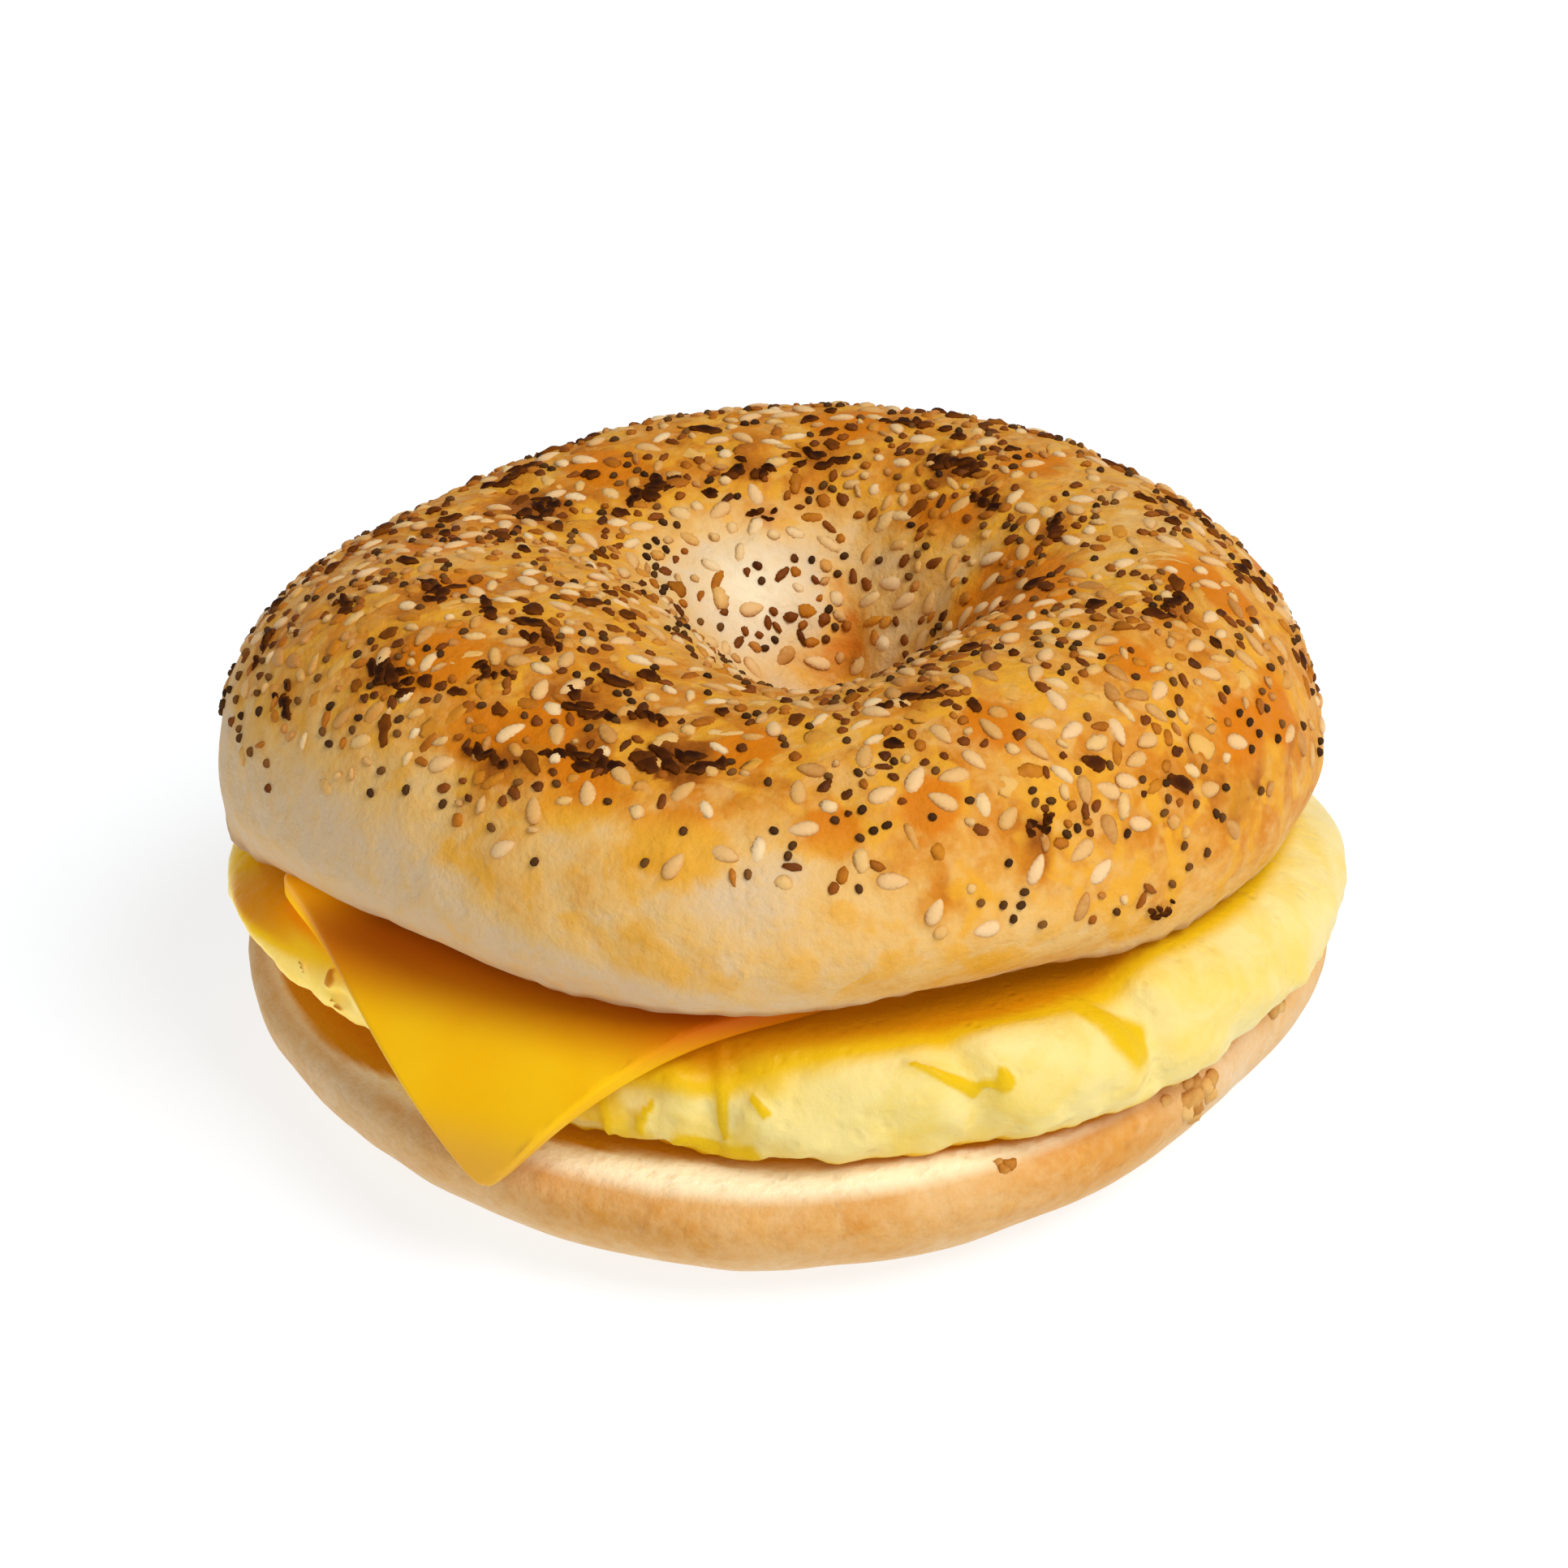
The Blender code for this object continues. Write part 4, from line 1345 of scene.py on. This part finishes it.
@dataclass
class CheeseSlice:
    """Square slice, bent down over the front left rim."""

    half: UpperHalf
    name: str = "cheese_sheet"
    sides: tuple[float, float] = (0.0540, 0.0470)
    thick: float = 0.0022
    at: tuple[float, float] = (-0.0150, -0.0249)
    draw: float = 0.0045
    turn: float = 20.7
    bend_to: float = 239.5
    bend_from: float = 0.0396
    bend_radius: float = 0.0159
    bend_angle: float = 90.5
    cells: int = 96
    rounding: float = 0.00075
    edge_steps: int = 4
    corner: float = 26.0
    waviness: float = 0.00010

    def drawn_back(self, across: np.ndarray) -> np.ndarray:
        """Give how far the slice is drawn back under the upper half."""
        return self.draw * smooth(across / (self.sides[0] / 2.0))

    def beyond(self, x: np.ndarray, y: np.ndarray) -> np.ndarray:
        """Give how far points of the plan lie outside the slice."""
        turn = math.radians(self.turn)
        across = (x - self.at[0]) * math.cos(turn) + (y - self.at[1]) * math.sin(turn)
        along = (y - self.at[1]) * math.cos(turn) - (x - self.at[0]) * math.sin(turn)
        along = along - self.drawn_back(across)
        return np.maximum(np.abs(across) - self.sides[0] / 2.0, np.abs(along) - self.sides[1] / 2.0)

    def sheet(self, across: np.ndarray, along: np.ndarray) -> np.ndarray:
        """Give the middle surface of the bent slice.

        Args:
            across: First place on the flat slice.
            along: Second place on the flat slice.

        Returns:
            Points about the food's middle.
        """
        turn = math.radians(self.turn)
        x = self.at[0] + across * math.cos(turn) - along * math.sin(turn)
        y = self.at[1] + across * math.sin(turn) + along * math.cos(turn)
        way = math.radians(self.bend_to)
        out = x * math.cos(way) + y * math.sin(way)
        side = y * math.cos(way) - x * math.sin(way)
        end = math.radians(self.bend_angle)
        over = np.maximum(out - self.bend_from, 0.0)
        arc = np.minimum(over, self.bend_radius * end)
        rest = over - arc
        swing = arc / self.bend_radius
        reach = self.bend_from + self.bend_radius * np.sin(swing) + rest * math.cos(end)
        drop = self.bend_radius * (1.0 - np.cos(swing)) + rest * math.sin(end)
        out = np.where(over > 0.0, reach, out)
        x = out * math.cos(way) - side * math.sin(way)
        y = out * math.sin(way) + side * math.cos(way)
        return np.stack([x, y, self.half.lid(x, y) - CLEAR - self.thick / 2.0 - drop], -1)

    def bent(self, points: np.ndarray) -> np.ndarray:
        """Bend points of the flat slab, keeping their distance from its middle surface."""
        step = 0.0002
        u, v = points[:, 0] / (self.sides[0] / 2.0), points[:, 1] / (self.sides[1] / 2.0)
        big = np.maximum(np.maximum(np.abs(u), np.abs(v)), 1e-9)
        pull = big / (np.abs(u) ** self.corner + np.abs(v) ** self.corner + 1e-30) ** (1.0 / self.corner)
        across = points[:, 0] * np.where(big > 0.3, pull, 1.0)
        along = points[:, 1] * np.where(big > 0.3, pull, 1.0) + self.drawn_back(across)
        middle = self.sheet(across, along)
        one = self.sheet(across + step, along) - self.sheet(across - step, along)
        two = self.sheet(across, along + step) - self.sheet(across, along - step)
        normal = np.cross(one, two)
        normal /= np.linalg.norm(normal, axis=1)[:, None]
        return middle + normal * points[:, 2:3] + AXIS

    def build(self) -> bpy.types.Object:
        """Make the slab with soft edges, then bend it.

        Returns:
            The piece.
        """
        mesh = bpy.data.meshes.new(self.name)
        net = bmesh.new()
        bmesh.ops.create_grid(net, x_segments=self.cells, y_segments=self.cells, size=0.5)
        bmesh.ops.scale(net, vec=(*self.sides, 1.0), verts=net.verts)
        net.to_mesh(mesh)
        net.free()
        thing = linked(self.name, mesh)
        thick = thing.modifiers.new("thickness", "SOLIDIFY")
        thick.thickness = self.thick
        thick.offset = 0.0
        soft = thing.modifiers.new("edge", "BEVEL")
        soft.width = self.rounding
        soft.segments = self.edge_steps
        soft.limit_method = "ANGLE"
        soft.angle_limit = math.radians(50.0)
        graph = bpy.context.evaluated_depsgraph_get()
        shaped = bpy.data.meshes.new_from_object(thing.evaluated_get(graph))
        thing.modifiers.clear()
        thing.data = shaped
        flat = np.empty(len(shaped.vertices) * 3)
        shaped.vertices.foreach_get("co", flat)
        points = self.bent(flat.reshape(-1, 3))
        points[:, 2] += self.waviness * cloud(points, 0.012, 8.3)
        shaped.vertices.foreach_set("co", points.ravel())
        shaped.update()
        shaped.shade_smooth()
        keep_fields(shaped, self.fields(points - AXIS))
        return thing

    def fields(self, plan: np.ndarray) -> dict[str, np.ndarray]:
        """Give each point its tip, painted shade and painted light, from its drop below the upper half's
        cut face.
        """
        drop = self.half.lid(plan[:, 0], plan[:, 1]) - plan[:, 2]
        turn = np.arctan2(plan[:, 1], plan[:, 0])
        left, right = hump(turn, 200.0, 8.5), hump(turn, 264.0, 13.0)
        # Painted shade just under the upper half, narrower at the left end.
        shade = 0.90 * smooth(1.0 - (drop - 0.0006) / (0.0046 - 0.0036 * left + 0.0016 * right))
        shade = shade * (1.0 - 0.5 * left + 0.1 * right)
        # Painted light from emission: a little everywhere, more in the painted shade, most at the left end.
        painted_light = 0.10 + 0.08 * shade + 0.70 * left * smooth(1.0 - (drop - 0.0030) / 0.0080)
        # Towards the hanging tip: partly a painted sheen, partly the cheese's own colour.
        tip = 0.8 * smooth((drop - 0.0090) / 0.0065)
        return {"tip": tip, "shade": shade, "painted_light": np.clip(painted_light, 0.0, 1.0)}

    def dress(self, piece: bpy.types.Object) -> None:
        """Give the piece its finish."""
        piece.data.materials.clear()
        piece.data.materials.append(CheeseFinish().material())


# ---------------------------------------------------------------- egg


@dataclass(frozen=True)
class Streak:
    """Deeper yellow fold on the egg's side, from one angle and height share to another."""

    RADIUS: ClassVar[float] = 0.0495
    TALL: ClassVar[float] = 0.0125
    start: tuple[float, float]
    end: tuple[float, float]
    wide_start: float
    wide_end: float

    def nearness(self, angle: np.ndarray, rise: np.ndarray, sway: np.ndarray) -> np.ndarray:
        """Give 1 on the fold and 0 well away from it, moved aside here and there by the sway."""
        x = (np.degrees(angle) - self.start[0]) * math.radians(self.RADIUS) + sway
        y = (rise - self.start[1]) * self.TALL - sway
        dx = (self.end[0] - self.start[0]) * math.radians(self.RADIUS)
        dy = (self.end[1] - self.start[1]) * self.TALL
        share = np.clip((x * dx + y * dy) / (dx * dx + dy * dy), 0.0, 1.0)
        wide = self.wide_start + (self.wide_end - self.wide_start) * share
        return smooth(1.20 - 0.75 * np.hypot(x - share * dx, y - share * dy) / wide)


@dataclass
class EggRound:
    """Cooked egg between both halves, folded at the front."""

    half: UpperHalf
    cheese: CheeseSlice
    name: str = "egg_folded"
    radius: float = 0.0520
    at: tuple[float, float] = (-0.0004, 0.0)
    floor: float = 0.0126
    shoulder: float = 0.80
    foot: float = 0.88
    belly: float = 0.43
    fullness: float = 0.8
    bulges: tuple[Hump, ...] = (
        (182.0, 16.0, 0.0020), (238.0, 24.0, -0.0030), (270.0, 26.0, -0.0010), (8.0, 26.0, 0.0012),
    )
    lift: Hump = (203.0, 27.0, 0.0042)
    lift_from: float = 0.036
    streaks: tuple[Streak, ...] = (
        Streak((302.3, 0.98), (307.7, 0.58), 0.0008, 0.0020),
        Streak((282.0, 0.82), (288.4, 0.56), 0.0001, 0.0007),
        Streak((288.4, 0.55), (291.4, 0.58), 0.0004, 0.0003),
        Streak((291.3, 0.67), (291.8, 0.57), 0.0004, 0.0009),
        Streak((262.0, 0.90), (263.4, 0.30), 0.0009, 0.0004),
        Streak((265.8, 0.64), (267.6, 0.52), 0.0003, 0.0005),
        Streak((258.5, 0.19), (265.5, 0.15), 0.0010, 0.0012),
        Streak((250.0, 0.52), (250.8, 0.22), 0.0004, 0.0004),
        Streak((255.4, 0.52), (254.2, 0.30), 0.0003, 0.0005),
    )
    scorches: tuple[Streak, ...] = (
        Streak((213.0, 0.70), (213.8, 0.58), 0.0006, 0.0010),
        Streak((208.2, 0.54), (208.9, 0.50), 0.0003, 0.0003),
        Streak((214.6, 0.36), (216.0, 0.30), 0.0002, 0.0004),
    )
    blister: Streak = Streak((215.2, 0.47), (215.2, 0.46), 0.0009, 0.0009)
    creases: tuple[tuple[float, float, float, float], ...] = (
        (308.0, 4.0, 2.6, 0.0021),
        (286.0, 5.5, 2.2, 0.0015),
        (261.5, 1.5, 2.4, 0.0017),
        (336.0, -6.0, 3.0, 0.0007),
    )
    lumps: tuple[Wave, ...] = ((7, 0.0035, 40.0), (11, 0.0045, 205.0), (17, 0.0035, 96.0))
    swell_span: tuple[float, float] = (0.0070, 0.0080)
    shade_reach: tuple[Hump, ...] = (
        (276.0, 14.0, 0.0015), (196.0, 16.0, -0.0014), (346.0, 14.0, 0.0009),
    )
    frothy: tuple[Hump, ...] = ((251.0, 21.0, 1.0), (210.0, 12.0, 0.5))
    columns: int = 640

    def section(self) -> np.ndarray:
        """Give the half section as shares of the radius and of the height, top to bottom."""
        top = [(self.shoulder * math.sqrt(i / 34), 1.0) for i in range(34)]
        side = []
        for i in range(26):
            swing = math.radians(90.0 - 90.0 * i / 25)
            share = self.shoulder + (1.0 - self.shoulder) * max(math.cos(swing), 0.0) ** self.fullness
            side.append((share, self.belly + (1.0 - self.belly) * math.sin(swing)))
        foot = []
        for i in range(1, 17):
            swing = math.radians(90.0 * i / 16)
            share = self.foot + (1.0 - self.foot) * max(math.cos(swing), 0.0) ** self.fullness
            foot.append((share, self.belly * (1.0 - math.sin(swing))))
        bottom = [(self.foot * math.sqrt(1.0 - i / 18), 0.0) for i in range(1, 19)]
        return np.array(top + side + foot + bottom)

    def build(self) -> bpy.types.Object:
        """Make the fine mesh.

        Returns:
            The piece.
        """
        section = self.section()
        angles = np.radians(np.arange(self.columns) * 360.0 / self.columns)
        share, angle = np.meshgrid(section[:, 0], angles, indexing="ij")
        rise = np.repeat(section[:, 1][:, None], self.columns, axis=1)
        rim = self.radius + humps(angle, self.bulges)
        edge = smooth((share - self.shoulder) / 0.14)
        rim = rim * (1.0 + waves(angle + 0.6 * rise, self.lumps) * edge)
        for at, turn, width, deep in self.creases:
            line = hump(angle, at + turn * (1.0 - rise), width) * edge * smooth(rise * 4.0)
            rim = rim - 0.75 * deep * line
        x = share * rim * np.cos(angle) + self.at[0]
        y = share * rim * np.sin(angle) + self.at[1]
        out = smooth((share * rim - self.lift_from) / (self.radius - self.lift_from))
        floor = self.floor + CLEAR + humps(angle, (self.lift,)) * out
        swell = smooth((self.cheese.beyond(x, y) - self.swell_span[0]) / self.swell_span[1])
        thick = self.cheese.thick
        roof = self.half.lid(x, y) - thick - 2.2 * CLEAR + (thick - 0.2 * CLEAR) * swell
        points = np.stack([x, y, floor + (roof - floor) * rise], -1) + AXIS
        sway = 0.0006 * cloud(points, 0.0028, 7.7)
        # The left side also takes some of the deeper fold yellow: a painted tint of the shade there.
        fold = np.maximum(0.36 * hump(angle, 205.0, 24.0), self.most(self.streaks, angle, rise, sway))
        scorch = self.most(self.scorches, angle, rise, sway) * edge
        blister = self.most((self.blister,), angle, rise, 0.0 * sway) * edge
        fold = fold * edge
        froth = edge * humps(angle, self.frothy) * smooth((1.0 - rise) * 3.0)
        lump = cloud(points, 0.0034, 6.1)
        bead = cloud(points, 0.0017, 2.2)
        bump = edge * (0.00022 * cloud(points, 0.0060, 1.9) + 0.00010 * cloud(points, 0.0022, 3.3))
        bump = bump + froth * (0.00080 * lump + 0.00035 * bead)
        ragged = 0.00050 * cloud(points, 0.0030, 5.5) + 0.00025 * cloud(points, 0.0014, 8.8)
        bump = bump + ragged * edge * smooth((0.50 - rise) / 0.25)
        bump = bump - 0.00045 * fold - 0.00070 * scorch + 0.00050 * blister
        points = points + outward(points) * bump[..., None]
        # Deeper yellow in the dents of the froth: painted shade in the dents.
        fold = np.maximum(fold, 0.55 * froth * smooth(0.25 - 1.6 * lump - 0.7 * bead))
        # Painted shade under the upper half's rim, deeper on the left.
        cover = self.half.radius * (1.0 + waves(angle, self.half.radius_waves))
        out = np.hypot(x - self.half.at[0], y - self.half.at[1]) - cover + humps(angle, self.shade_reach)
        shade = np.clip((-0.0008 - out) / 0.0042, 0.0, 1.0) * smooth((rise - 0.5) * 6.0)
        left_shade = 0.95 * hump(angle, 194.0, 15.0) * smooth((rise - 0.42) * 4.0) * edge
        shade = np.maximum(shade, left_shade)
        # Painted shade along the foot, in the gap over the lower half.
        hem = smooth((0.12 - rise) / 0.12) * edge
        # Painted light from emission: most on the thin left lip, some in the painted shade and at the foot.
        thin = hump(angle, 204.0, 28.0) * edge * (1.0 - 0.12 * shade)
        painted_light = np.maximum(thin, np.maximum(0.30 * shade, 0.50 * hem))
        fields = {"fold": fold, "shade": np.maximum(shade, hem), "toast": 0.90 * scorch, "painted_light": painted_light}
        return ring_mesh(self.name, points, False, fields)

    @staticmethod
    def most(
        streaks: tuple[Streak, ...], angle: np.ndarray, rise: np.ndarray, sway: np.ndarray
    ) -> np.ndarray:
        """Give how near points are to the nearest of some streaks."""
        return np.max([streak.nearness(angle, rise, sway) for streak in streaks], axis=0)

    def dress(self, piece: bpy.types.Object) -> None:
        """Give the piece its finish."""
        piece.data.materials.append(EggFinish().material())


# ---------------------------------------------------------------- lower half


@dataclass(frozen=True)
class Bit:
    """Cluster of toasted lumps on the lower half's side, with how flat they lie and how large they are."""

    angle: float
    height: float
    size: float
    lumps: int
    dark: float
    flat: float = 0.35
    grain: float = 1.0


@dataclass
class LowerHalf:
    """Lower half of the bagel, cut flat on top."""

    name: str = "bagel_bottom_crust"
    radius: float = 0.0514
    height: float = 0.0126
    girth: float = 0.0094
    base: float = 0.0372
    hole: float = 0.0062
    bore: tuple[tuple[float, float], ...] = ((0.0028, 0.0), (0.0006, 0.14), (0.0, 0.52), (0.0010, 1.0))
    lip: float = 0.0052
    at: tuple[float, float] = (-0.0011, -0.0004)
    radius_waves: tuple[Wave, ...] = ((2, 0.0132, 121.0), (3, 0.0150, 59.0), (4, 0.0190, 8.0))
    draw_in: Hump = (335.0, 13.0, 0.0013)
    browned: tuple[Hump, ...] = ((302.0, 18.0, 0.07), (336.0, 18.0, -0.13), (208.0, 30.0, -0.10))
    browned_band: tuple[Hump, ...] = ((258.0, 17.0, 0.18), (276.0, 10.0, 0.05), (306.0, 15.0, 0.16))
    # Shifts of the edge of the painted shade under the egg, by angle.
    painted_shade_edge: tuple[Hump, ...] = ((208.0, 30.0, -0.0018), (318.0, 30.0, -0.0002), (229.0, 13.0, 0.0014))
    bits: tuple[Bit, ...] = (
        Bit(320.5, 0.0096, 0.0050, 20, 0.56),
        Bit(342.0, 0.0106, 0.0022, 5, 0.45),
        Bit(293.3, 0.0117, 0.0012, 4, 0.82, 0.20, 0.78),
        Bit(72.0, 0.0098, 0.0026, 8, 0.45),
    )
    columns: int = 420

    def section(self) -> np.ndarray:
        """Give the closed section as radius and height, from the cut face outwards and down."""
        inside, outside = self.hole + self.bore[-1][0], self.radius - self.lip
        face = [(inside + (outside - inside) * i / 26, self.height) for i in range(26)]
        lip = []
        for i in range(14):
            swing = math.radians(90.0 * i / 14)
            lip.append((outside + self.lip * math.sin(swing),
                        self.girth + (self.height - self.girth) * math.cos(swing)))
        wall = []
        for i in range(31):
            swing = math.radians(90.0 * i / 30)
            wall.append((self.base + (self.radius - self.base) * math.cos(swing),
                         self.girth * (1.0 - math.sin(swing))))
        start = self.hole + self.bore[0][0]
        under = [(self.base + (start - self.base) * i / 16, 0.0) for i in range(1, 16)]
        shares = [share for _, share in self.bore]
        bore = [(self.hole + float(np.interp(i / 12, shares, [more for more, _ in self.bore])),
                 self.height * i / 12) for i in range(12)]
        return np.array(face + lip + wall + under + bore)

    def build(self) -> bpy.types.Object:
        """Make the fine mesh.

        Returns:
            The piece.
        """
        section = self.section()
        angles = np.radians(np.arange(self.columns) * 360.0 / self.columns)
        radius, angle = np.meshgrid(section[:, 0], angles, indexing="ij")
        z = np.repeat(section[:, 1][:, None], self.columns, axis=1)
        share = np.clip(radius / self.radius, 0.0, 1.0)
        less = humps(angle, (self.draw_in,)) / self.radius
        stretch = 1.0 + (waves(angle, self.radius_waves) - less) * share**2
        points = np.stack([radius * stretch * np.cos(angle) + self.at[0],
                           radius * stretch * np.sin(angle) + self.at[1], z], -1) + AXIS
        skin = smooth((share - 0.80) / 0.10) * smooth(z / 0.0030)
        bump = skin * (0.00030 * cloud(points, 0.0100, 4.2) + 0.00012 * cloud(points, 0.0042, 6.6))
        cut = (z > self.height - 1e-6) * (share < 0.985)
        crumb = np.maximum(cut * 1.0, smooth((share - 0.2) * 9.0) * smooth((z - 0.0113) / 0.0010))
        crumb = np.where((share < 0.30) & (z > 0.002), 1.0, crumb)
        # Paler towards the bottom: partly paler dough, partly painted light on the shaded lower side.
        toast = 0.26 - 0.20 * smooth((0.0070 - z) / 0.0060) + 0.10 * cloud(points, 0.0120, 5.5)
        toast += humps(angle, self.browned)
        toast += humps(angle, self.browned_band) * bell(z - self.girth, 0.0026) * (share > 0.7)
        toast += 0.10 * (z <= 1e-6)
        points = points + outward(points) * bump[..., None]
        # Painted shade on the cut face under the egg's overhang.
        under_egg = radius * stretch + humps(angle, self.painted_shade_edge) + 0.0004 * cloud(points, 0.0090, 3.7)
        painted_shade = (1.0 - smooth((under_egg - 0.0470) / 0.0007)) * (z > self.girth) * (share > 0.5)
        toast, crumb = np.clip(toast, 0.0, 1.0), 0.95 * np.clip(crumb, 0.0, 1.0)
        fields = {"toast": toast, "crumb": crumb, "painted_shade": painted_shade, "oil": np.zeros_like(z)}
        return ring_mesh(self.name, points, True, fields)

    def dress(self, piece: bpy.types.Object) -> None:
        """Give the piece its crust."""
        # The painted shade under the egg is lit a little again by emission: painted light.
        finish = CrustFinish(
            "pale_crust", pale=(0.80, 0.59, 0.36), straw=(0.73, 0.44, 0.18), golden=(0.65, 0.31, 0.075),
            crumb=(0.99, 0.87, 0.61), pore=(0.95, 0.80, 0.54), painted_shade=(0.53, 0.215, 0.006),
            mottle=0.22, patches=0.12, painted_light=0.15,
        )
        piece.data.materials.append(finish.material())

    def wall(self, z: float) -> float:
        """Give the radius of the plain outside at a height."""
        if z > self.girth:
            share = (z - self.girth) / (self.height - self.girth)
            return self.radius - self.lip * (1.0 - math.sqrt(max(1.0 - share * share, 0.0)))
        share = 1.0 - z / self.girth
        return self.base + (self.radius - self.base) * math.sqrt(1.0 - share * share)

    def bits_piece(self) -> bpy.types.Object:
        """Make the few toasted bits that stick to the side.

        Returns:
            The piece.
        """
        pick = random.Random(5)
        grains = []
        for bit in self.bits:
            turn = math.radians(bit.angle)
            stretch = 1.0 + float(waves(turn, self.radius_waves))
            less = float(humps(turn, (self.draw_in,)))
            out = np.array([math.cos(turn), math.sin(turn), 0.0])
            side = np.array([-out[1], out[0], 0.0])
            middle = np.array([self.at[0], self.at[1], 0.0]) + AXIS
            for _ in range(bit.lumps):
                unit, faces = ball(7, 12)
                rough = 1.0 + 0.40 * cloud(unit, 0.34, pick.uniform(0.0, 90.0))
                scale = bit.grain * pick.uniform(0.0010, 0.0024)
                aside, higher = pick.gauss(0.0, 0.28), pick.gauss(0.0, 0.16)
                z = min(bit.height + higher * bit.size, self.height)
                reach = self.wall(z) * stretch - less - 0.0002 - 0.5 * (aside * bit.size) ** 2 / self.radius
                place = middle + side * aside * bit.size + out * reach + np.array([0.0, 0.0, z])
                shaped = unit * rough[:, None] * scale
                shaped = shaped - bit.flat * (shaped @ out)[:, None] * out
                tone = float(np.clip(pick.gauss(bit.dark, 0.20 * (1.0 - 0.8 * bit.dark)), 0.0, 1.0))
                grains.append(Grain(shaped + place, faces, tone, np.zeros(len(unit))))
        piece = joined_mesh("toasted_bits", grains)
        finish = ToppingFinish(
            "toasted_bit",
            ((0.0, (0.78, 0.52, 0.22)), (0.45, (0.70, 0.40, 0.12)), (0.85, (0.44, 0.16, 0.018)),
             (1.0, (0.30, 0.10, 0.01))),
            rim=(0.40, 0.15, 0.02), grain=0.0006, depth=0.00008, shine=0.06,
        )
        piece.data.materials.append(finish.material())
        return piece


# ---------------------------------------------------------------- studio


@dataclass(frozen=True)
class Lamp:
    """One wide, even light: its name, strength, width in degrees, direction from the food and colour."""

    name: str
    strength: float
    softness: float
    direction: tuple[float, float, float]
    colour: Colour

    def place(self) -> None:
        """Add the light to the scene."""
        data = bpy.data.lights.new(self.name, "SUN")
        data.energy = self.strength
        data.angle = math.radians(self.softness)
        data.color = self.colour
        made = linked(self.name, data)
        made.rotation_euler = Vector(self.direction).to_track_quat("Z", "Y").to_euler()


@dataclass
class Studio:
    """Camera, soft lights and the pale floor."""

    target: tuple[float, float, float] = (0.00097, 0.00010, 0.024)
    distance: float = 0.5753
    elevation: float = 28.3733
    lens: float = 138.29
    sensor: float = 36.0
    shift: tuple[float, float] = (-0.00729, 0.01124)
    lamps: tuple[Lamp, ...] = (
        Lamp("key", 2.28, 34.0, (0.50, -0.40, 0.85), (1.0, 0.99, 0.97)),
        Lamp("fill", 0.40, 70.0, (0.45, -1.00, 0.32), WHITE),
    )
    room_light: float = 0.355
    floor_side: float = 12.0
    floor_colour: Colour = (0.30, 0.32, 0.34)
    floor_glow: float = 0.75

    def camera(self) -> None:
        """Set the camera in front and above."""
        tilt = math.radians(self.elevation)
        data = bpy.data.cameras.new("camera")
        data.lens = self.lens
        data.sensor_width = self.sensor
        data.shift_x, data.shift_y = self.shift
        data.clip_start = 0.01
        made = linked("camera", data)
        x, y, z = self.target
        made.location = (x, y - self.distance * math.cos(tilt), z + self.distance * math.sin(tilt))
        made.rotation_euler = (math.pi / 2.0 - tilt, 0.0, 0.0)
        bpy.context.scene.camera = made

    def lights(self) -> None:
        """Light the food from the front right and from above, in a pale room."""
        for lamp in self.lamps:
            lamp.place()
        world = bpy.data.worlds.new("room")
        world.use_nodes = True
        air = world.node_tree.nodes["Background"].inputs
        air["Color"].default_value = (*WHITE, 1.0)
        air["Strength"].default_value = self.room_light
        bpy.context.scene.world = world
        bpy.context.scene.view_settings.view_transform = "Standard"
        bpy.context.scene.view_settings.look = "None"

    def floor(self) -> None:
        """Lay the pale floor."""
        mesh = bpy.data.meshes.new("floor")
        net = bmesh.new()
        bmesh.ops.create_grid(net, x_segments=1, y_segments=1, size=self.floor_side / 2.0)
        net.to_mesh(mesh)
        net.free()
        mesh.materials.append(Paint("pale_floor").finish(
            Base_Color=self.floor_colour, Roughness=0.9, Specular_IOR_Level=0.0,
            Emission_Color=WHITE, Emission_Strength=self.floor_glow,
        ))
        linked("floor", mesh)


# ---------------------------------------------------------------- all of it


def stands_for(piece: bpy.types.Object, node: str | None) -> None:
    """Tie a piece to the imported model.

    Args:
        piece: The piece.
        node: The node that it stands for, if any.
    """
    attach(piece, "root")
    if node is not None:
        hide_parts(node)
    log.info("%s: %d faces", piece.name, len(piece.data.polygons))


def main() -> None:
    """Build the food from the bottom up, then its studio."""
    logging.basicConfig(level=logging.INFO, format="%(message)s")
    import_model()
    upper, lower = UpperHalf(), LowerHalf()
    cheese = CheeseSlice(upper)
    egg = EggRound(upper, cheese)

    heel = lower.build()
    lower.dress(heel)
    stands_for(heel, "bagel_bottom")
    stands_for(lower.bits_piece(), None)

    round_piece = egg.build()
    egg.dress(round_piece)
    stands_for(round_piece, "egg_round")

    slice_piece = cheese.build()
    cheese.dress(slice_piece)
    stands_for(slice_piece, "cheese_slice")

    toppings = Toppings(Bed(upper))
    grains = toppings.build()
    crust = upper.build(toppings.marks)
    upper.dress(crust)
    stands_for(crust, "bagel_top")
    for piece in toppings.dress(grains):
        stands_for(piece, None)

    studio = Studio()
    studio.camera()
    studio.lights()
    studio.floor()


if __name__ == "__main__":
    main()
